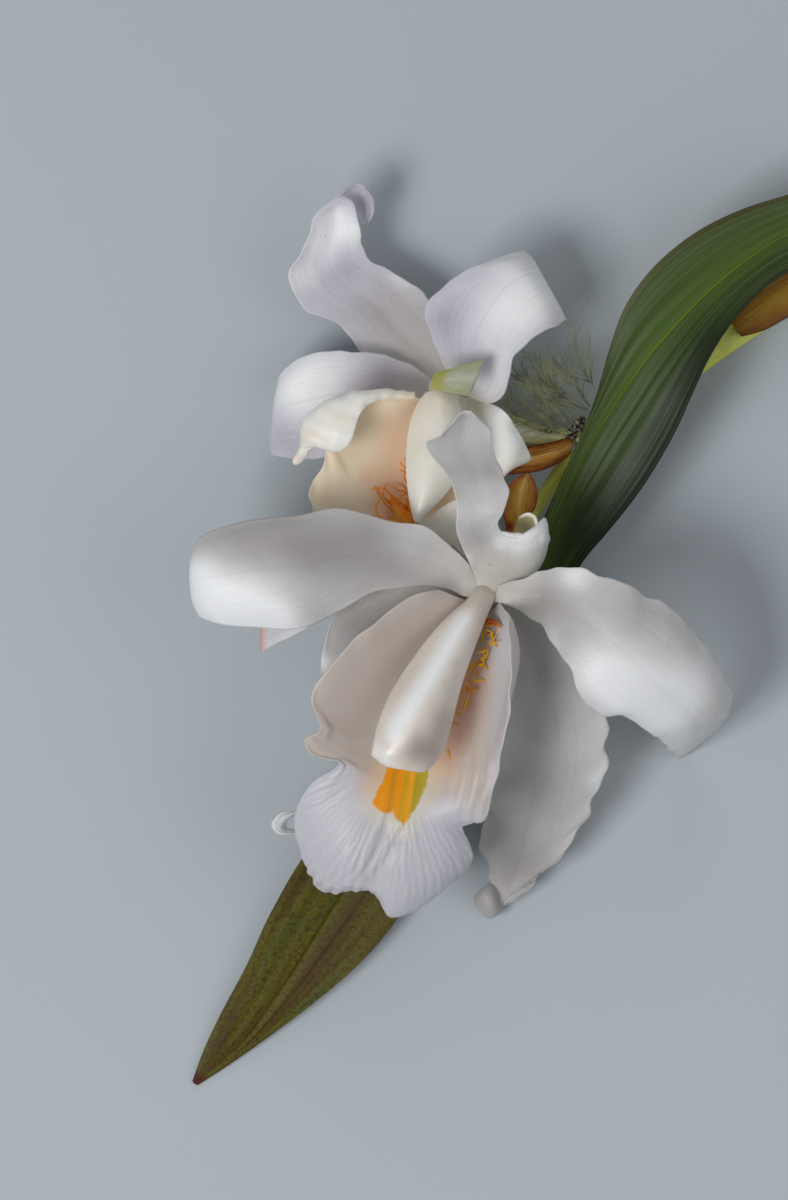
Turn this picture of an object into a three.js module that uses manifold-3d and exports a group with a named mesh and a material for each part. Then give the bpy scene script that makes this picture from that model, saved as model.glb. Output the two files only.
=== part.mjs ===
// A cut coelogyne orchid spray that lies on its back on the plane z = 0, with its flowers facing up.
// Millimetres, +Z up, origin on the resting plane at the middle of the whole spray.
// Petals, sepals, lips and the leaf are thin blades. Each is a net of points, read as rows from root to tip, and
// each row runs across the blade from its left edge to its right edge.
import * as THREE from 'three';
import Module from 'manifold-3d';
import { mergeVertices } from 'three/addons/utils/BufferGeometryUtils.js';

const wasm = await Module();
wasm.setup();

// Driving dimensions
const TEPAL_THICKNESS = 0.7;
const LIP_THICKNESS = 0.8;
const LEAF_THICKNESS = 0.9;
const BRACT_THICKNESS = 0.6;
const ROW_STEPS = 2;
const COLUMN_STEPS = 1;
const FINE_STEPS = 2;
const STEM_SIDES = 12;
const STEM_STEPS = 14;
const SHEATH_GAP = 0.6;
const SCALE_GAP = 0.95;
const STEM_RADIUS = 2.1;
const SHOOT_RADIUS = 4.8;

const FINISH = {
  tepal: { color: 0xf1f0f2, roughness: 0.5, metalness: 0 },
  lip: { color: 0xf3ece4, roughness: 0.5, metalness: 0 },
  column: { color: 0xf2ecdf, roughness: 0.35, metalness: 0 },
  leaf: { color: 0x2d4a16, roughness: 0.35, metalness: 0 },
  stem: { color: 0xa9ad5a, roughness: 0.45, metalness: 0 },
  amber: { color: 0xa9732c, roughness: 0.45, metalness: 0 },
  papery: { color: 0x9a5a22, roughness: 0.6, metalness: 0 },
  pale: { color: 0xc9cfa4, roughness: 0.5, metalness: 0 },
  knob: { color: 0x2c2418, roughness: 0.8, metalness: 0 },
  hair: { color: 0x7b7a55, roughness: 0.8, metalness: 0 },
};

const spray = new THREE.Group();
spray.name = 'coelogyne_spray';

function addPiece(name, geometry, finish) {
  geometry.computeVertexNormals();
  const mesh = new THREE.Mesh(geometry, new THREE.MeshStandardMaterial(finish));
  mesh.name = name;
  spray.add(mesh);
  return mesh;
}

// ---------------------------------------------------------------- shared shape functions

const toVector = (p) => (p.isVector3 ? p.clone() : new THREE.Vector3(...p));

// A point on the smooth curve through the points, at a place counted in points
function pointOnCurve(points, place) {
  const last = points.length - 1;
  const i = Math.min(Math.floor(place), last - 1);
  const t = place - i;
  const before = i > 0 ? points[i - 1] : points[0].clone().multiplyScalar(2).sub(points[1]);
  const after = i + 2 <= last ? points[i + 2] : points[last].clone().multiplyScalar(2).sub(points[last - 1]);
  const weights = [
    (-t + 2 * t * t - t * t * t) / 2,
    (2 - 5 * t * t + 3 * t * t * t) / 2,
    (t + 4 * t * t - 3 * t * t * t) / 2,
    (-t * t + t * t * t) / 2,
  ];
  const corners = [before, points[i], points[i + 1], after];
  const sum = new THREE.Vector3();
  corners.forEach((corner, k) => sum.addScaledVector(corner, weights[k]));
  return sum;
}

function refine(points, steps) {
  const count = (points.length - 1) * steps;
  return Array.from({ length: count + 1 }, (_, k) => pointOnCurve(points, k / steps));
}

// Fills a coarse net of points in with a smooth surface through them
function smoothNet(net, rowSteps = ROW_STEPS, columnSteps = COLUMN_STEPS) {
  const wide = net.map((row) => refine(row.map(toVector), columnSteps));
  const columns = wide[0].map((_, c) => refine(wide.map((row) => row[c]), rowSteps));
  return columns[0].map((_, r) => columns.map((column) => column[r]));
}

function netNormals(grid) {
  const clampRow = (r) => Math.max(0, Math.min(grid.length - 1, r));
  const clampColumn = (c) => Math.max(0, Math.min(grid[0].length - 1, c));
  return grid.map((row, r) =>
    row.map((_, c) => {
      const along = grid[clampRow(r + 1)][c].clone().sub(grid[clampRow(r - 1)][c]);
      const across = row[clampColumn(c + 1)].clone().sub(row[clampColumn(c - 1)]);
      return across.cross(along).normalize();
    }),
  );
}

function shifted(grid, normals, distance) {
  return grid.map((row, r) => row.map((p, c) => p.clone().addScaledVector(normals[r][c], distance)));
}

// Closes a top and a bottom grid of the same size into one solid
function closedShell(top, bottom) {
  const rows = top.length;
  const columns = top[0].length;
  const positions = [...top.flat(), ...bottom.flat()].flatMap((p) => [p.x, p.y, p.z]);
  const upper = (r, c) => r * columns + c;
  const lower = (r, c) => rows * columns + upper(r, c);
  const faces = [];
  const quad = (a, b, c, d) => faces.push(a, b, c, a, c, d);
  for (let r = 0; r < rows - 1; r += 1) {
    for (let c = 0; c < columns - 1; c += 1) {
      quad(upper(r, c), upper(r, c + 1), upper(r + 1, c + 1), upper(r + 1, c));
      quad(lower(r, c), lower(r + 1, c), lower(r + 1, c + 1), lower(r, c + 1));
    }
    quad(upper(r, 0), upper(r + 1, 0), lower(r + 1, 0), lower(r, 0));
    quad(upper(r, columns - 1), lower(r, columns - 1), lower(r + 1, columns - 1), upper(r + 1, columns - 1));
  }
  for (let c = 0; c < columns - 1; c += 1) {
    quad(upper(0, c), lower(0, c), lower(0, c + 1), upper(0, c + 1));
    quad(upper(rows - 1, c), upper(rows - 1, c + 1), lower(rows - 1, c + 1), lower(rows - 1, c));
  }
  const geometry = new THREE.BufferGeometry();
  geometry.setAttribute('position', new THREE.Float32BufferAttribute(positions, 3));
  geometry.setIndex(faces);
  return geometry;
}

function blade(net, thickness, rowSteps, columnSteps) {
  const grid = smoothNet(net, rowSteps, columnSteps);
  const normals = netNormals(grid);
  return closedShell(shifted(grid, normals, thickness / 2), shifted(grid, normals, -thickness / 2));
}

// A round stem through the points, with a radius at each of them
function stem(points, radii, steps = STEM_STEPS) {
  const path = new THREE.CatmullRomCurve3(points.map(toVector));
  const frames = path.computeFrenetFrames(steps, false);
  const radiusPoints = radii.map((r) => new THREE.Vector3(r, 0, 0));
  const positions = [];
  for (let k = 0; k <= steps; k += 1) {
    const centre = path.getPointAt(k / steps);
    const radius = pointOnCurve(radiusPoints, path.getUtoTmapping(k / steps) * (radii.length - 1)).x;
    for (let s = 0; s < STEM_SIDES; s += 1) {
      const angle = (s / STEM_SIDES) * 2 * Math.PI;
      const p = centre.clone();
      p.addScaledVector(frames.normals[k], Math.cos(angle) * radius);
      p.addScaledVector(frames.binormals[k], Math.sin(angle) * radius);
      positions.push(p.x, p.y, p.z);
    }
  }
  const faces = [];
  const ring = (k, s) => k * STEM_SIDES + (s % STEM_SIDES);
  for (let s = 0; s < STEM_SIDES; s += 1) {
    for (let k = 0; k < steps; k += 1) {
      faces.push(ring(k, s), ring(k, s + 1), ring(k + 1, s + 1), ring(k, s), ring(k + 1, s + 1), ring(k + 1, s));
    }
    if (s > 0 && s < STEM_SIDES - 1) {
      faces.push(ring(0, 0), ring(0, s + 1), ring(0, s));
      faces.push(ring(steps, 0), ring(steps, s), ring(steps, s + 1));
    }
  }
  const geometry = new THREE.BufferGeometry();
  geometry.setAttribute('position', new THREE.Float32BufferAttribute(positions, 3));
  geometry.setIndex(faces);
  return geometry;
}

// A papery sheath: a blade wrapped round a stem's axis over a span of angles, narrowing to its tip
function sheathNet(axis, radius, spans) {
  const path = new THREE.CatmullRomCurve3(axis.map(toVector));
  const up = new THREE.Vector3(0, 0, 1);
  return spans.map((span, k) => {
    const t = k / (spans.length - 1);
    const centre = path.getPointAt(t);
    const side = up.clone().cross(path.getTangentAt(t)).normalize();
    return [-1, -0.5, 0, 0.5, 1].map((s) => {
      const angle = THREE.MathUtils.degToRad(s * span);
      const p = centre.clone().addScaledVector(side, Math.sin(angle) * radius);
      return p.addScaledVector(up, Math.cos(angle) * radius);
    });
  });
}

function toSolid(geometry) {
  const bare = geometry.clone();
  bare.deleteAttribute('normal');
  bare.deleteAttribute('uv');
  const merged = mergeVertices(bare);
  return new wasm.Manifold(
    new wasm.Mesh({
      numProp: 3,
      vertProperties: merged.attributes.position.array,
      triVerts: new Uint32Array(merged.index.array),
    }),
  );
}

function joined(...geometries) {
  const [first, ...rest] = geometries.map(toSolid);
  const mesh = rest.reduce((whole, solid) => whole.add(solid), first).getMesh();
  const geometry = new THREE.BufferGeometry();
  geometry.setAttribute('position', new THREE.Float32BufferAttribute(mesh.vertProperties, 3));
  geometry.setIndex([...mesh.triVerts]);
  return geometry;
}

// ---------------------------------------------------------------- front flower: petals and sepals

const frontDorsalSepal = [
  [[-22.6, 8.9, 27.2], [-21.6, 8.8, 26.6], [-20.6, 8.8, 26.4], [-19.6, 8.9, 26.6], [-18.8, 9, 27.2]],
  [[-24.9, 12.5, 28.6], [-23.2, 12.6, 27.4], [-21.2, 12.5, 27], [-19.4, 12.6, 27.6], [-18.2, 12.8, 28.4]],
  [[-26.4, 17.2, 31], [-24.4, 17.2, 30], [-21.8, 17, 29.8], [-19.8, 17, 30.6], [-18.7, 17.2, 31.6]],
  [[-26.2, 21.5, 35], [-24.3, 21.6, 33.4], [-21.8, 21.6, 32.9], [-19, 21.2, 34.4], [-16.9, 21.2, 36.6]],
  [[-27.4, 25.4, 39.5], [-25, 25.8, 37.6], [-22.4, 26, 36.8], [-20, 25.6, 38], [-18.4, 25.2, 40]],
  [[-30.4, 29.2, 44], [-27, 30.2, 42.6], [-23.6, 30.4, 41.8], [-21.4, 30, 42.4], [-19.9, 29.2, 44]],
  [[-29.2, 32.6, 49], [-27, 34, 48.4], [-24.4, 34.6, 47.6], [-22.6, 34.2, 48], [-20.8, 33.2, 49]],
  [[-26.4, 34.6, 52.4], [-25.8, 35.6, 52.2], [-24.8, 36.2, 52], [-23.9, 36, 52.1], [-23, 35.4, 52.3]],
];

// The dorsal sepal's right margin at its base, rolled back into a short open scroll
const frontDorsalScroll = [
  [[-20, 9.2, 26.6], [-18.4, 9.2, 27], [-16.6, 9.2, 26.6], [-15.4, 9.2, 25.4], [-15.6, 9.5, 24.2], [-16.4, 9.7, 23.8]],
  [[-20.4, 11.2, 26.8], [-17.6, 11, 28], [-14.2, 10.8, 27.8], [-11.8, 10.6, 25.8], [-12.4, 11.2, 23.4],
    [-14.6, 11.6, 22.8]],
  [[-20.2, 13.8, 28.2], [-17.4, 13.4, 30], [-13.8, 13.4, 30], [-11, 13.6, 27.4], [-11.9, 14.4, 24.4],
    [-14.2, 14.9, 23.8]],
  [[-19.2, 16.9, 31], [-17.2, 15.8, 32.2], [-14, 16.4, 32], [-11.2, 18, 29], [-12.6, 18.9, 26.2],
    [-14.8, 19.3, 25.4]],
];

const frontPetalLeft = [
  [[-23.9, 9, 26.8], [-24.2, 8.1, 26.3], [-24.4, 7.3, 26.2], [-24.6, 6.5, 26.3], [-24.9, 5.7, 26.7]],
  [[-26.2, 12.9, 28.4], [-27, 11, 27.6], [-27.6, 9.4, 27.4], [-28, 7.9, 27.8], [-28.2, 6.9, 28.6]],
  [[-31.6, 17, 30], [-32.2, 14.2, 29.4], [-32.8, 11.6, 29.2], [-33.4, 9.2, 29.6], [-33.6, 7.4, 30.6]],
  [[-38.2, 18.2, 30.6], [-38.8, 15.4, 31], [-39.6, 12, 31], [-40.2, 8.6, 31.2], [-40.4, 5.8, 31.6]],
  [[-46, 20, 31], [-46.4, 16.4, 32], [-46.8, 11.6, 32.4], [-46.6, 6.4, 32.4], [-45.9, 2.6, 31.8]],
  [[-53.6, 18.9, 31], [-54, 15.4, 32.6], [-54, 10, 33.4], [-53.2, 3.6, 33], [-50.8, -0.8, 30.6]],
  [[-61.9, 17.9, 30.4], [-62, 14.2, 32.6], [-61.6, 8.4, 33.6], [-59.4, 1.8, 32.6], [-54, -3, 28.6]],
  [[-68.2, 15.8, 29], [-68.4, 12, 31.2], [-67.6, 6.6, 31.8], [-64.6, 0.9, 30.2], [-56, -4.1, 26.4]],
  [[-70.9, 13, 26.2], [-71, 9.4, 27], [-70.4, 4.6, 27], [-66.4, 0.3, 26.4], [-57.4, -4.5, 24.4]],
  [[-69.4, 10, 22.6], [-69.2, 7, 22.6], [-68, 3, 22.6], [-64, -0.6, 22.8], [-58.4, -4.4, 22.8]],
  [[-60.4, -2.8, 20.6], [-60.2, -3.2, 20.7], [-59.9, -3.6, 20.8], [-59.6, -4, 20.9], [-59.2, -4.4, 21]],
];

const frontPetalRight = [
  [[-17.2, 7.6, 26.8], [-17, 6.9, 26.3], [-16.8, 6.2, 26.2], [-16.8, 5.5, 26.3], [-17, 4.7, 26.7]],
  [[-14.4, 8.9, 29.6], [-14, 7.4, 28.6], [-13.8, 5.6, 28.2], [-13.9, 3.6, 28.2], [-14.2, 1.9, 28.6]],
  [[-8.4, 10.3, 32], [-8.4, 7.4, 31], [-8.6, 3.8, 30.6], [-9.2, 0.4, 30.4], [-10.2, -2.2, 30.4]],
  [[-1.4, 8.7, 33.4], [-2.4, 5, 33.2], [-3.8, 0.6, 33], [-5.4, -3.8, 32.4], [-7, -7, 31.6]],
  [[5.4, 5.8, 32.6], [3.6, 1.8, 33.8], [1.2, -3.2, 34], [-2, -8, 33], [-4.9, -12, 31]],
  [[11.4, 2.2, 29.6], [9.4, -2.4, 31.8], [6, -7.6, 32.2], [2, -12, 31], [-2.6, -14.4, 28.4]],
  [[16.6, -4, 24.6], [14.4, -7.6, 27.4], [10.6, -11.8, 28], [6.6, -14.6, 27], [2.4, -15.2, 24.6]],
  [[20.3, -10.6, 18], [18.4, -12.8, 20.8], [14.8, -15.6, 21.6], [11, -17.4, 21], [7, -18, 19]],
  [[20.2, -15.2, 11], [18.4, -16.6, 12.4], [15.6, -18.6, 12.8], [12.6, -19.8, 12.4], [9.6, -20, 11.4]],
  [[14.4, -21.2, 0.9], [13.8, -21.7, 0.6], [13.2, -22.1, 0.5], [12.6, -22.3, 0.6], [12, -22.4, 0.9]],
];

const frontLateralSepalLeft = [
  [[-24, 5.9, 22.9], [-23.6, 5.2, 22.5], [-23.1, 4.6, 22.2], [-22.5, 4.1, 22], [-21.8, 3.8, 22]],
  [[-32, 6.2, 24.6], [-30.8, 4, 23.2], [-29.6, 1.6, 22], [-28.2, -0.2, 21.2], [-26.4, -2, 20.6]],
  [[-40.2, 4.2, 25.4], [-38.6, 0.8, 23.4], [-36.6, -2.6, 21.6], [-34.4, -5.2, 20], [-31.6, -7.6, 18.6]],
  [[-46.4, 0.8, 24.6], [-44.4, -3.4, 22.4], [-41.6, -7.4, 20.4], [-38.6, -10, 18.6], [-35.4, -12.6, 17]],
  [[-49, -6.4, 22.4], [-47.4, -9.8, 20.4], [-44.6, -13, 18.4], [-41.8, -15.4, 16.8], [-38.6, -18, 15.4]],
  [[-49.4, -15, 19.4], [-48.4, -17.2, 17.8], [-46.4, -19.4, 16.4], [-44.2, -21.6, 15], [-41.6, -24, 13.6]],
  [[-49.6, -22.6, 16.2], [-49.2, -24, 15.2], [-48.2, -25.4, 14.2], [-47, -26.8, 13.2], [-45.4, -28.4, 12.4]],
  [[-51.4, -29.4, 13.4], [-51.2, -29.8, 12.8], [-50.8, -30.2, 12.2], [-50.2, -30.6, 11.6], [-49.4, -31, 11.2]],
  [[-53.9, -31.1, 12.6], [-53.9, -31.3, 12.1], [-53.9, -31.5, 11.6], [-53.8, -31.8, 11.1], [-53.6, -32.2, 10.6]],
  [[-56.7, -31.9, 12.4], [-56.5, -32.1, 11.9], [-56.3, -32.3, 11.4], [-56.1, -32.5, 10.9], [-55.8, -32.8, 10.4]],
  [[-57.5, -34, 12.2], [-57.2, -34, 11.7], [-56.9, -34, 11.2], [-56.6, -34, 10.7], [-56.2, -34, 10.2]],
  [[-55.8, -35.7, 12], [-55.7, -35.4, 11.5], [-55.6, -35.2, 11], [-55.5, -35, 10.5], [-55.4, -34.7, 10]],
  [[-53.2, -35.6, 11.8], [-53.3, -35.3, 11.5], [-53.4, -35.1, 11.2], [-53.5, -34.9, 10.9], [-53.6, -34.7, 10.6]],
];

const frontLateralSepalRight = [
  [[-20.6, 3.4, 22.1], [-19.8, 3.5, 21.9], [-19, 3.8, 21.8], [-18.3, 4.2, 21.9], [-17.7, 4.8, 22.1]],
  [[-19.4, -3, 22.2], [-17, -3, 21.4], [-14.6, -2.6, 21.2], [-12, -1.8, 21.6], [-9.6, -0.6, 22.6]],
  [[-19.6, -10, 20.6], [-16.4, -10.2, 19.8], [-12.8, -10, 19.6], [-8.6, -9, 20.2], [-4.4, -7.4, 21.4]],
  [[-20, -17.4, 18], [-16.4, -17.6, 17.2], [-12.2, -17.6, 17.2], [-6.6, -17.2, 18], [-0.6, -16.2, 19.4]],
  [[-20.4, -25, 14.4], [-16.8, -25.2, 14], [-12.4, -25.4, 14], [-6.6, -25.2, 14.8], [-0.9, -25, 15.6]],
  [[-21, -31, 11], [-17.6, -31.4, 10.8], [-13.4, -31.8, 10.6], [-8.4, -32.2, 11], [-3.6, -31.6, 12]],
  [[-21.9, -36, 8.2], [-18.6, -36.6, 8], [-14.6, -37.2, 7.8], [-10.6, -37.6, 8], [-6.6, -37.4, 8.8]],
  [[-20.8, -41.4, 5], [-18.4, -42, 4.8], [-15.8, -42.4, 4.8], [-13.6, -42.8, 5.2], [-11.8, -43, 5.8]],
  [[-19.4, -46.2, 2.8], [-18.4, -46.6, 2.4], [-17.4, -46.8, 2.4], [-16.6, -46.8, 2.6], [-15.8, -46.4, 3]],
  [[-19.4, -48.8, 2.2], [-19.5, -49.1, 1.7], [-19.6, -49.3, 1.3], [-19.7, -49.6, 0.9], [-19.8, -49.9, 0.6]],
  [[-22, -48.2, 3], [-22.1, -48.4, 2.4], [-22.3, -48.6, 1.8], [-22.5, -48.8, 1.2], [-22.7, -49, 0.7]],
  [[-22.2, -45.6, 3.4], [-22.4, -45.5, 2.9], [-22.6, -45.4, 2.4], [-22.8, -45.3, 1.9], [-23, -45.2, 1.4]],
  [[-20.4, -44.7, 3.2], [-20.5, -44.5, 2.9], [-20.6, -44.3, 2.6], [-20.7, -44.1, 2.3], [-20.8, -43.9, 2]],
];

addPiece(
  'front_dorsal_sepal',
  joined(blade(frontDorsalSepal, TEPAL_THICKNESS), blade(frontDorsalScroll, TEPAL_THICKNESS)),
  FINISH.tepal,
);
const frontTepals = {
  front_petal_left: frontPetalLeft,
  front_petal_right: frontPetalRight,
  front_lateral_sepal_left: frontLateralSepalLeft,
  front_lateral_sepal_right: frontLateralSepalRight,
};
for (const [name, net] of Object.entries(frontTepals)) {
  addPiece(name, blade(net, TEPAL_THICKNESS), FINISH.tepal);
}

// ---------------------------------------------------------------- front flower: lip, column, ovary, bract

// The lip is a channel under the column, with a spread left lobe, an upright right lobe and a fan-shaped midlobe
const frontLip = [
  [[-24, 4.4, 25.4], [-23.4, 3.6, 24.6], [-22.6, 3.1, 24.2], [-21.6, 2.8, 24], [-20.6, 2.9, 24.1],
    [-19.6, 3.5, 24.8], [-18.8, 4.2, 26]],
  [[-31, 6.2, 33.5], [-28.6, 3.2, 28.6], [-25.6, 0.4, 24.6], [-23.2, -1.6, 23.4], [-20.6, -1, 24.8],
    [-17.2, 0.6, 29.6], [-17.3, 1.2, 34.4]],
  [[-38.6, 1.8, 35.5], [-35, -1.6, 29.6], [-30.6, -4, 25.2], [-26.6, -6.6, 23.8], [-22.6, -6.6, 25.4],
    [-16, -4.8, 31], [-17.2, -4, 37.4]],
  [[-45.6, -4.4, 35.5], [-40.8, -8, 30.2], [-35, -10.6, 25.8], [-29.6, -12.6, 24.2], [-24.2, -13, 25.6],
    [-17.6, -11.6, 31], [-17, -10.6, 38]],
  [[-50.6, -11.6, 34], [-45.2, -14.6, 29.6], [-38.6, -17, 25.8], [-32.4, -18.8, 24.6], [-26.2, -19.2, 26.2],
    [-19.8, -18.6, 30.8], [-18, -18.4, 36]],
  [[-51.8, -19, 31.6], [-46.6, -19.8, 28.8], [-40.4, -21.6, 26], [-34.4, -23.4, 25.4], [-28.6, -24.4, 27],
    [-22.6, -25, 30], [-19.6, -25.6, 33]],
  [[-46, -23.2, 28.6], [-43.8, -24.2, 27.6], [-40.2, -26.6, 26.6], [-35.6, -28, 26.2], [-30.4, -29.4, 27.2],
    [-25.2, -30.4, 28.6], [-21.4, -32.8, 28]],
  [[-50.8, -26.6, 26.4], [-46.8, -28.4, 26.4], [-41.6, -31, 26.6], [-37, -32.6, 26.6], [-32.4, -33.4, 26.8],
    [-28.6, -33.6, 26.6], [-25, -33.6, 25]],
  [[-53.5, -31.8, 23], [-48.8, -33.4, 25], [-43.2, -35.4, 26.2], [-38.6, -36.8, 26.2], [-33.6, -37.4, 26.4],
    [-28.4, -37.4, 25.4], [-23.8, -37, 22.6]],
  [[-53, -37, 20], [-49, -38.6, 23], [-44.2, -40, 25], [-39.8, -41, 25], [-34.6, -41.8, 25],
    [-29, -41.8, 23.4], [-23.5, -40, 19.6]],
  [[-50.8, -42.6, 17.6], [-48.2, -43.2, 20.4], [-44.4, -43.4, 22.6], [-40, -44.4, 22.4], [-35.4, -46.4, 21.8],
    [-30.8, -45.6, 20], [-26.8, -43.4, 17.6]],
  [[-49.6, -44.6, 16.4], [-46.8, -45.3, 18.2], [-43.4, -44.8, 20.4], [-40, -45.6, 20], [-37.4, -49.2, 18],
    [-34, -48.7, 17], [-30, -46, 16.4]],
];
addPiece('front_lip', blade(frontLip, LIP_THICKNESS), FINISH.lip);

// The column's rounded back, seen from above. Its underside is nearly flat, and its end is a hood with an apron.
const frontColumnBack = [
  [[-22.9, 6.3, 27.2], [-22.1, 6.8, 28.3], [-21.1, 6.8, 28.9], [-20.3, 6.2, 28.4], [-19.9, 5.2, 27.2]],
  [[-25.6, 3.6, 28.6], [-24.6, 3.8, 30.4], [-23.2, 3.4, 31.4], [-21.7, 2.8, 30.6], [-20.9, 2, 28.8]],
  [[-29.7, 0.3, 30.2], [-28, -0.3, 33], [-26, -1.2, 34.4], [-24, -1.9, 33.2], [-22.6, -2.4, 30.4]],
  [[-34.4, -6.4, 32.2], [-32, -6.9, 35.8], [-29.6, -7.4, 37.2], [-27, -7.9, 35.8], [-24.9, -8.3, 32.2]],
  [[-37.6, -11.2, 33.8], [-35, -11.6, 37.8], [-32, -12, 39.2], [-28.8, -12.4, 37.6], [-26.1, -12.7, 33.6]],
  [[-39.4, -16, 35.2], [-36.8, -16.4, 39.2], [-33.4, -16.8, 40.4], [-30, -17.2, 38.8], [-27, -17.4, 34.8]],
  [[-40.3, -20.8, 36.8], [-37.8, -21, 39.8], [-34.6, -21.3, 40.8], [-31.4, -21.5, 39.6], [-28.6, -21.4, 36.4]],
  [[-38.6, -22.3, 37.6], [-36.8, -23.6, 38.4], [-34.4, -24, 38.6], [-32.2, -24.1, 38.2], [-30.8, -23.9, 37.4]],
];

const COLUMN_UNDERSIDE_RISE = 0.15;
const COLUMN_EDGE_THICKNESS = 0.8;

// The underside follows the back's edges, a little raised in the middle
function columnSolid(net) {
  const top = smoothNet(net, ROW_STEPS, FINE_STEPS);
  const bottom = top.map((row) => {
    const last = row.length - 1;
    return row.map((p, c) => {
      const chord = THREE.MathUtils.lerp(row[0].z, row[last].z, c / last);
      const q = p.clone();
      q.z = chord + (p.z - chord) * COLUMN_UNDERSIDE_RISE - COLUMN_EDGE_THICKNESS;
      return q;
    });
  });
  return closedShell(bottom, top);
}
addPiece('front_column', columnSolid(frontColumnBack), FINISH.column);

// Ovary at the flower's back, narrowing to the pedicel that meets the flower stem's last node
const frontOvaryPath = [
  [-20.8, 6.3, 24.9], [-20.1, 7.4, 20.5], [-17.8, 11.2, 14], [-15, 16, 8.4], [-10.9, 22.6, 5.6], [-6.2, 29.6, 5],
];
const frontOvaryRadii = [3, 2.4, 1.9, 1.4, 1.25, 1.25];
addPiece('front_ovary', stem(frontOvaryPath, frontOvaryRadii), FINISH.stem);

const frontBract = [
  [[-17.6, 16.9, 11.4], [-16.8, 16.7, 10.6], [-15.8, 16.7, 10.3], [-14.8, 17.2, 10.6], [-14, 18, 11.2]],
  [[-18.2, 19.6, 13.2], [-16.9, 19.8, 12], [-15.4, 20, 11.4], [-13.9, 20.2, 11.8], [-12.6, 20.4, 12.6]],
  [[-17.9, 22.8, 14], [-16.6, 22.9, 12.9], [-15, 23, 12.5], [-13.4, 22.9, 12.8], [-12.2, 22.8, 13.5]],
  [[-16.2, 25, 14.2], [-15.4, 25.1, 13.6], [-14.4, 25.2, 13.4], [-13.5, 25, 13.5], [-12.8, 24.9, 13.8]],
  [[-14.6, 25.9, 14.1], [-14.3, 26, 14], [-14, 26.1, 13.9], [-13.7, 26, 13.9], [-13.4, 25.9, 14]],
];
addPiece('front_bract', blade(frontBract, BRACT_THICKNESS), FINISH.amber);

// ---------------------------------------------------------------- back flower: petals and sepals

const backDorsalSepal = [
  [[-30.6, 41.5, 11.4], [-30.2, 42, 11.1], [-29.7, 42.4, 11], [-29.1, 42.8, 11.1], [-28.4, 43.1, 11.4]],
  [[-37, 43.4, 9.6], [-35.4, 45, 9.2], [-33.8, 46.6, 9.4], [-32, 48.4, 9.8], [-30.4, 50.2, 10.4]],
  [[-42.4, 47, 8], [-40.2, 49.2, 7.6], [-37.8, 51.6, 7.6], [-35.2, 54.2, 8], [-32.6, 56.8, 8.8]],
  [[-46.2, 51.8, 8.2], [-43.8, 53.6, 7.4], [-41.2, 55.8, 7.2], [-38.6, 58.4, 7.6], [-36.6, 60.5, 8.4]],
  [[-51.6, 54, 9.6], [-49, 56.4, 8.2], [-45.8, 58.8, 7.8], [-42.8, 61, 8.2], [-40.4, 62.4, 9]],
  [[-54.6, 59.4, 11], [-51.6, 61, 9.4], [-48, 62.6, 9], [-44.8, 64, 9.6], [-42.2, 65.2, 10.4]],
  [[-52.6, 64.2, 12], [-50.6, 65.2, 10.8], [-47.6, 66.6, 10.6], [-44.8, 67.4, 11], [-42.4, 68.2, 11.4]],
  [[-50.4, 69.8, 13], [-48.8, 70, 12.4], [-46.8, 70.6, 12.2], [-44.6, 71.2, 12.2], [-42.9, 71.2, 12]],
  [[-46.6, 73, 13.6], [-45.8, 73.6, 13.4], [-45, 74.2, 13], [-44.2, 74.2, 12.4], [-43.6, 73.8, 11.8]],
  [[-43.4, 75.5, 12.2], [-43.2, 75, 11.2], [-42.9, 74.4, 10.4], [-42.8, 73.8, 9.8], [-42.8, 73, 9.4]],
  [[-40.8, 74.4, 10.6], [-41.1, 73.8, 9.8], [-41.4, 73.2, 9.2], [-41.8, 72.6, 8.8], [-42.2, 71.8, 8.4]],
  [[-40.3, 71.6, 9.4], [-40.7, 71.4, 8.8], [-41, 71.2, 8.4], [-41.3, 71, 8], [-41.6, 70.8, 7.8]],
  [[-41.2, 69, 8.2], [-41.3, 68.9, 8], [-41.4, 68.8, 7.9], [-41.6, 68.8, 7.8], [-41.8, 68.7, 7.7]],
];

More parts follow.
